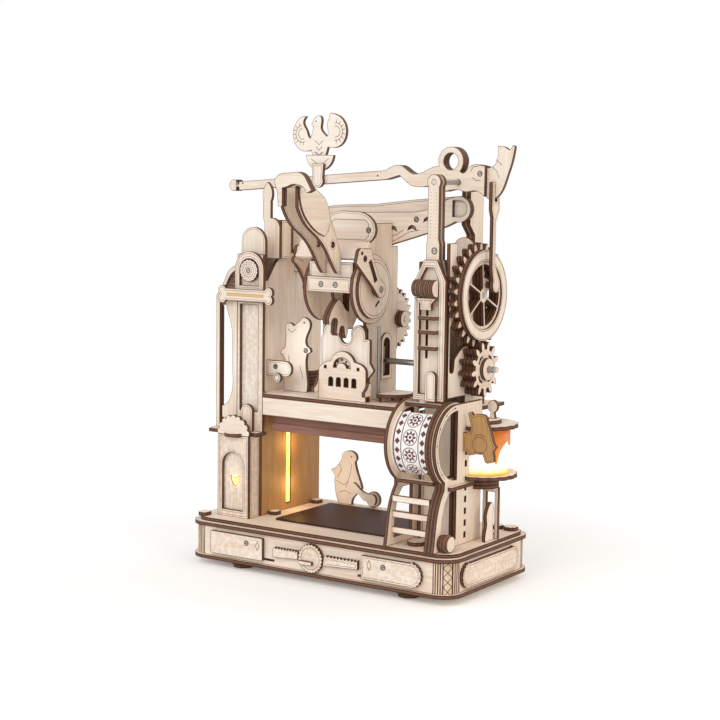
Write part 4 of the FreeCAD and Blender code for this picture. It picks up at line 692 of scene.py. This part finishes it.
markSet = {
    "frame": [
        ("screw", "front", 15, 43, 293.5, 1.9), ("screw", "front", -33, 89.5, 271, 2.2),
        ("screw", "front", -25.5, 23.3, 285, 1.9), ("screw", "front", -9, -49.2, 181.6, 1.7),
        ("screw", "front", -24, -69.5, 168, 1.7), ("ring", "front", -27, -66, 159, 2.6),
        ("screw", "front", -67.5, -66, 25, 1.8), ("screw", "front", -67.5, 68.5, 24, 1.8),
        ("line", "front", 15, (10, 275), (18, 279), (25, 281), (31, 285)),
        ("line", "front", 15, (14, 272), (24, 276.5), (36, 283), (46, 285)),
        ("line", "front", -25.5, (-10, 277), (20, 277), (23, 280), (23, 290), (20, 293), (-10, 293),
         (-13, 290), (-13, 280), (-10, 277)),
        ("ring", "front", -39, -87.5, 248.5, 5.6), ("ring", "front", -39, -87.5, 248.5, 3.6),
        ("screw", "front", -39, -87.5, 248.5, 1.8),
        ("ring", "front", -22, 127, 121, 6.5), ("line", "front", -22, (122, 128), (127, 129.5), (132, 128)),
        ("line", "front", -9, (-70, 160), (-66, 168), (-67, 176)),
        ("line", "front", -9, (-52, 158), (-55, 168)),
        ("line", "front", -9, (-68, 199), (-64, 196), (-60, 199)), ("dot", "front", -9, -51, 205, 0.9),
        ("line", "front", 55, (-59.5, 63), (-55, 70), (-56.5, 75)),
        ("line", "front", 55, (-50, 55), (-46, 66), (-44, 76)),
        ("line", "front", 55, (-60, 60), (-52, 57), (-47, 61)),
        ("line", "front", 55, (-57, 50), (-51, 52), (-45, 50)), ("dot", "front", 55, -44.5, 83, 0.7),
        ("slot", "front", -64.5, (-48.5, 13.5), (-40, 13.5)),
        ("slot", "front", -64.5, (44, 13.5), (55, 13.5)),
        ("line", "front", -67.5, (-56.5, 24), (-54.5, 28), (-52.5, 24), (-54.5, 20), (-56.5, 24)),
        ("line", "front", -67.5, (53.5, 24), (55.5, 28), (57.5, 24), (55.5, 20), (53.5, 24)),
        ("ring", "front", -67.5, -1.2, 21.1, 9.0), ("strip", "front", -42, (-106.5, 228), (-70.5, 228)),
        ("arc", "side", 112, -31.5, 120.5, 29.6, 92, 143),
        ("pane", "front", -25.5, (-8.9, 161.7), (13.1, 161.7)),
    ],
    "lever": [
        ("slot", "side", 26.3, (-18, 224), (-14, 227)), ("screw", "side", 32.3, -19.5, 237.5, 2.2),
        ("ring", "side", 26.3, -19.5, 237.5, 21.6), ("screw", "front", -46, -8.5, 241.3, 1.9),
        ("screw", "front", -46, 5.5, 241.3, 1.9),
    ],
    "shaft": [
        ("slot", "side", 114.6, (17, 182.5), (15.5, 185.3), (12.5, 187)),
        ("slot", "side", 114.6, (1.5, 187), (-1.5, 185.3), (-3, 182.5)),
        ("slot", "side", 114.6, (-3, 171.5), (-1.5, 168.7), (1.5, 167)),
        ("slot", "side", 114.6, (12.5, 167), (15.5, 168.7), (17, 171.5)),
    ],
    "beam": [
        ("screw", "front", 4, 107.5, 331, 1.8), ("screw", "front", 4, -133, 320, 1.2),
        ("line", "front", 4, (99, 333), (102, 336.5), (106, 336.8)),
        ("line", "front", 4, (101, 328), (104, 325.5), (108, 325.5)),
        ("line", "front", 7, (117, 336), (121, 333), (123, 328)),
        ("line", "front", 7, (120, 342), (125, 338)),
        ("line", "front", 7, (-53, 347.5), (-49, 344.5), (-45, 347.5)),
        ("line", "front", 7, (-52, 347.5), (-49, 344.5), (-46, 347.5)),
        ("line", "front", 7, (-52, 352), (-49, 349), (-46, 352)),
        ("line", "front", 7, (-53, 357), (-49, 353.5), (-45, 357)), ("dot", "front", 7, -52.3, 373, 0.7),
        ("dot", "front", 4, -127, 320.6, 0.8), ("dot", "front", 4, 12, 328.4, 0.8),
        ("line", "front", 4, (-55, 342), (-46, 336), (-37, 342)),
    ],
    "gear": [
        ("ring", "side", 113.1, 7, 235.5, 34.8), ("ring", "side", 113.1, 7, 235.5, 28.4),
    ],
}
# marks in rows: dots up the neck of the right tower, charred tabs in the slots of the annex side, dots on
# arcs over the fan of the arcade and round the annex's ring, and strokes over both wings of the eagle
neckRow = {"plane": -33, "places": (85.6, 90.4), "first": 281, "step": 2.7, "count": 14, "radius": 0.32}
tabRow = {"plane": 109, "place": -16.5, "low": 41.4, "high": 43.1, "rises": (5, 14.5, 24, 33.5, 43, 62, 71.5)}
dotArcs = [("front", -25.5, (-1, 172.3), 6.4, 1.0, (12, 50, 90, 130, 168)),
           ("side", 112, (-31.5, 120.5), 29.6, 0.8, (96, 122, 148, 174, 200, 224))]
wingSet = {"plane": 7, "arcs": (4.6, 7.2), "tip": 9.6, "strokes": 8,
           "wings": ((-65.6, 362.8, 105, 285), (-32.4, 364.5, 95, -95))}


def polar(u, v, radius, degrees):
    turn = math.radians(degrees)
    return u + radius * math.cos(turn), v + radius * math.sin(turn)


for number in range(neckRow["count"]):
    height = neckRow["first"] + neckRow["step"] * number
    markSet["frame"] += [("dot", "front", neckRow["plane"], place, height, neckRow["radius"])
                         for place in neckRow["places"]]
for rise in tabRow["rises"]:
    markSet["frame"].append(("tab", "side", tabRow["plane"], (tabRow["place"], tabRow["low"] + rise),
                             (tabRow["place"], tabRow["high"] + rise)))
for facing, plane, centre, reach, radius, turns in dotArcs:
    markSet["frame"] += [("dot", facing, plane, *polar(*centre, reach, turn), radius) for turn in turns]


def featherMarks(s, u, v, first, last):
    # arcs round the middle of a wing, and strokes that spread out from the larger one
    marks = [("arc", "front", s["plane"], u, v, reach, first, last - first) for reach in s["arcs"]]
    for number in range(s["strokes"]):
        turn = first + (last - first) * (number + 0.5) / s["strokes"]
        near, far = (polar(u, v, reach, turn) for reach in (s["arcs"][1], s["tip"]))
        marks.append(("line", "front", s["plane"], near, far))
    return marks


for wing in wingSet["wings"]:
    markSet["beam"] += featherMarks(wingSet, *wing)

# the material of each kind of mark, the widths of lines, and the sizes of dots and screw heads, in mm. The
# slot of a screw reaches these shares of its radius to the side and up
# dots, slots, tabs and the pane are dark: char, with painted shade for the holes and slots
markSlots = {"line": 0, "ring": 0, "arc": 0, "dot": 1, "slot": 1, "tab": 1, "pane": 1, "screw": 2, "strip": 3}
lineWidths = {"line": 0.45, "slot": 2.0, "strip": 3.0, "tab": 2.6, "pane": 11.6}
headSet = {"lift": 0.09, "dotLift": 0.18, "screwLift": 0.36, "rim": 0.55, "taper": 0.92, "segments": 20,
           "slotWidth": 0.5, "slotReach": (0.7, 0.3)}


def facingMatrix(facing, at):
    # from a mark's own u, v and height to the world, in metres
    columns = {"front": ((1, 0, 0), (0, 0, 1), (0, -1, 0), (0, at, 0)),
               "side": ((0, 1, 0), (0, 0, 1), (1, 0, 0), (at, 0, 0))}[facing]
    turn = Matrix([list(column) + [0] for column in columns[:3]] + [list(columns[3]) + [1]]).transposed()
    return Matrix.Scale(mm, 4) @ turn


def addLine(bm, base, points, width):
    # flat bars from point to point
    verts = []
    for start, end in zip(points, points[1:]):
        run = Vector(end) - Vector(start)
        middle = (Vector(start) + Vector(end)) / 2
        place = Matrix.Translation((middle.x, middle.y, 0))
        place = place @ Matrix.Rotation(math.atan2(run.y, run.x), 4, "Z")
        size = Matrix.Diagonal((run.length + width, width, headSet["lift"], 1))
        verts += bmesh.ops.create_cube(bm, size=1, matrix=base @ place @ size)["verts"]
    return verts


def addDisc(bm, place, radius, topRadius, depth):
    return bmesh.ops.create_cone(bm, cap_ends=True, segments=headSet["segments"], radius1=radius,
                                 radius2=topRadius, depth=depth, matrix=place)["verts"]


def paint(verts, slot):
    for v in verts:
        for f in v.link_faces:
            f.material_index = slot


def addMark(bm, kind, facing, at, *numbers):
    base = facingMatrix(facing, at)
    if kind in lineWidths:
        verts = addLine(bm, base, numbers, lineWidths[kind])
    elif kind in ("ring", "arc"):
        u, v, radius, first, sweep = (numbers + (0, 360))[:5]
        count = max(14, round(radius * 2))
        points = [polar(u, v, radius, first + sweep * n / count) for n in range(count + 1)]
        verts = addLine(bm, base, points, lineWidths["line"])
    else:
        u, v, radius = numbers
        place = base @ Matrix.Translation((u, v, 0))
        if kind == "screw":
            # a charred rim, and a slot across the head painted dark as painted shade in its groove
            rim = radius + headSet["rim"]
            du, dv = (radius * share for share in headSet["slotReach"])
            over = base @ Matrix.Translation((0, 0, headSet["screwLift"] / 2))
            paint(addDisc(bm, place, rim, rim, headSet["lift"]), markSlots["dot"])
            slot = addLine(bm, over, [(u - du, v - dv), (u + du, v + dv)], headSet["slotWidth"])
            paint(slot, markSlots["slot"])
        verts = addDisc(bm, place, radius, radius * headSet["taper"],
                        headSet["screwLift" if kind == "screw" else "dotLift"])
    paint(verts, markSlots[kind])


for body, marks in markSet.items():
    bm = bmesh.new()
    for mark in marks:
        addMark(bm, *mark)
    newPiece(body + "Marks", bm, body, [engravedLine, charAndHoleShade, zinc, ochre])
print("marks made")


# the studio: a pale floor that fades to white, a white surround for what the camera sees, and soft lamps.
# Each lamp is its place in metres, its power in watts, then its size and colour; a spot is its place, the
# point it is aimed at, its power and its angle in degrees

studioSet = {
    "floorSize": 6, "fadeFrom": 0.22, "fadeTo": 0.5, "floorGlow": 0.11, "world": 0.66, "aim": (0, 0, 0.2),
    "lamps": {"keyLamp": ((0.1, -1.7, 1.5), 12, 1.2, "ffffff"),
              "fillLamp": ((-1.2, -1.5, 0.7), 7.5, 1.2, "ffffff"),
              "sideLamp": ((1.8, -0.3, 0.9), 10.8, 1.2, "ffe8cb"),
              "backLamp": ((0.8, 1.5, 1.5), 7, 1.5, "ffffff")},
    "ownLamps": {"slotLamp": ((-0.068, 0.0085, 0.098), 0.012),
                 "lowSlotLamp": ((-0.068, 0.0085, 0.062), 0.01),
                 "kioskLamp": ((-0.0955, -0.0475, 0.073), 0.0015)},
    "ownColour": "ffd07a",
    "spots": {"cartBearLamp": ((-0.03, -0.09, 0.075), (-0.05, 0.055, 0.07), 0.3, 24),
              "potBearLamp": ((0.03, -0.13, 0.215), (-0.058, -0.009, 0.183), 0.35, 19)},
}


def seenByEye(mat):
    # 1 for what the camera sees directly, in a reflection or through glass
    path = addNode(mat, "ShaderNodeLightPath").node.outputs
    seen = path["Is Camera Ray"]
    for other in ("Is Glossy Ray", "Is Transmission Ray"):
        seen = addNode(mat, "ShaderNodeMath", {"operation": "MAXIMUM"}, i0=seen, i1=path[other])
    return seen


def floorPaper(s):
    # matt white paper near the object, plain white far from it
    mat, shader = newMaterial("floorPaper", 0.9)
    shader.inputs["Specular IOR Level"].default_value = 0.0
    where = addNode(mat, "ShaderNodeTexCoord").node.outputs["Object"]
    grain = addNode(mat, "ShaderNodeTexNoise", None, Vector=where, Scale=300.0)
    joinTo(mat, colourRamp(mat, grain, [(0.3, "f7f7f7"), (0.7, "fbfbfb")]), shader, "Base Color")
    distance = addNode(mat, "ShaderNodeVectorMath", {"operation": "LENGTH"}, i0=where).node.outputs["Value"]
    far = addNode(mat, "ShaderNodeMapRange", {"interpolation_type": "SMOOTHSTEP"}, i0=distance,
                  i1=s["fadeFrom"], i2=s["fadeTo"])
    seen = seenByEye(mat)
    strength = addNode(mat, "ShaderNodeMapRange", None, i0=seen, i3=s["world"], i4=1.0)
    white = addNode(mat, "ShaderNodeEmission", None, Color=(1, 1, 1, 1), Strength=strength)
    mixed = addNode(mat, "ShaderNodeMixShader", None, i0=far, i1=shader.outputs[0], i2=white)
    lift = addNode(mat, "ShaderNodeMath", {"operation": "MULTIPLY"}, i0=seen, i1=s["floorGlow"])
    glow = addNode(mat, "ShaderNodeEmission", None, Color=(1, 1, 1, 1), Strength=lift)
    total = addNode(mat, "ShaderNodeAddShader", None, i0=mixed, i1=glow)
    mat.node_tree.links.new(total, mat.node_tree.nodes["Material Output"].inputs["Surface"])
    return mat


def addLamp(name, kind, place, power, colour, target=None, **settings):
    data = bpy.data.lights.new(name, kind)
    data.energy = power
    data.color = fromHex(colour)[:3]
    for key, value in settings.items():
        setattr(data, key, value)
    lamp = bpy.data.objects.new(name, data)
    scene.collection.objects.link(lamp)
    lamp.location = place
    if target:
        lamp.rotation_euler = (Vector(target) - Vector(place)).to_track_quat("-Z", "Y").to_euler()


def makeStudio(s):
    bm = bmesh.new()
    bmesh.ops.create_grid(bm, x_segments=1, y_segments=1, size=s["floorSize"])
    meshObject("studioFloor", bm, [floorPaper(s)])
    world = bpy.data.worlds.new("studioWorld")
    scene.world = world
    world.use_nodes = True
    back = world.node_tree.nodes["Background"]
    strength = addNode(world, "ShaderNodeMapRange", None, i0=seenByEye(world), i3=s["world"], i4=1.0)
    world.node_tree.links.new(strength, back.inputs["Strength"])
    back.inputs["Color"].default_value = (1, 1, 1, 1)
    for name, (place, power, size, colour) in s["lamps"].items():
        addLamp(name, "AREA", place, power, colour, s["aim"], size=size)
    # the object's own lamps, and narrow ones that reach the two bears inside
    for name, (place, power) in s["ownLamps"].items():
        addLamp(name, "POINT", place, power, s["ownColour"], shadow_soft_size=0.004)
    for name, (place, target, power, spread) in s["spots"].items():
        addLamp(name, "SPOT", place, power, "ffffff", target, spot_size=math.radians(spread), spot_blend=0.6,
                shadow_soft_size=0.01)


makeStudio(studioSet)
print("studio made")
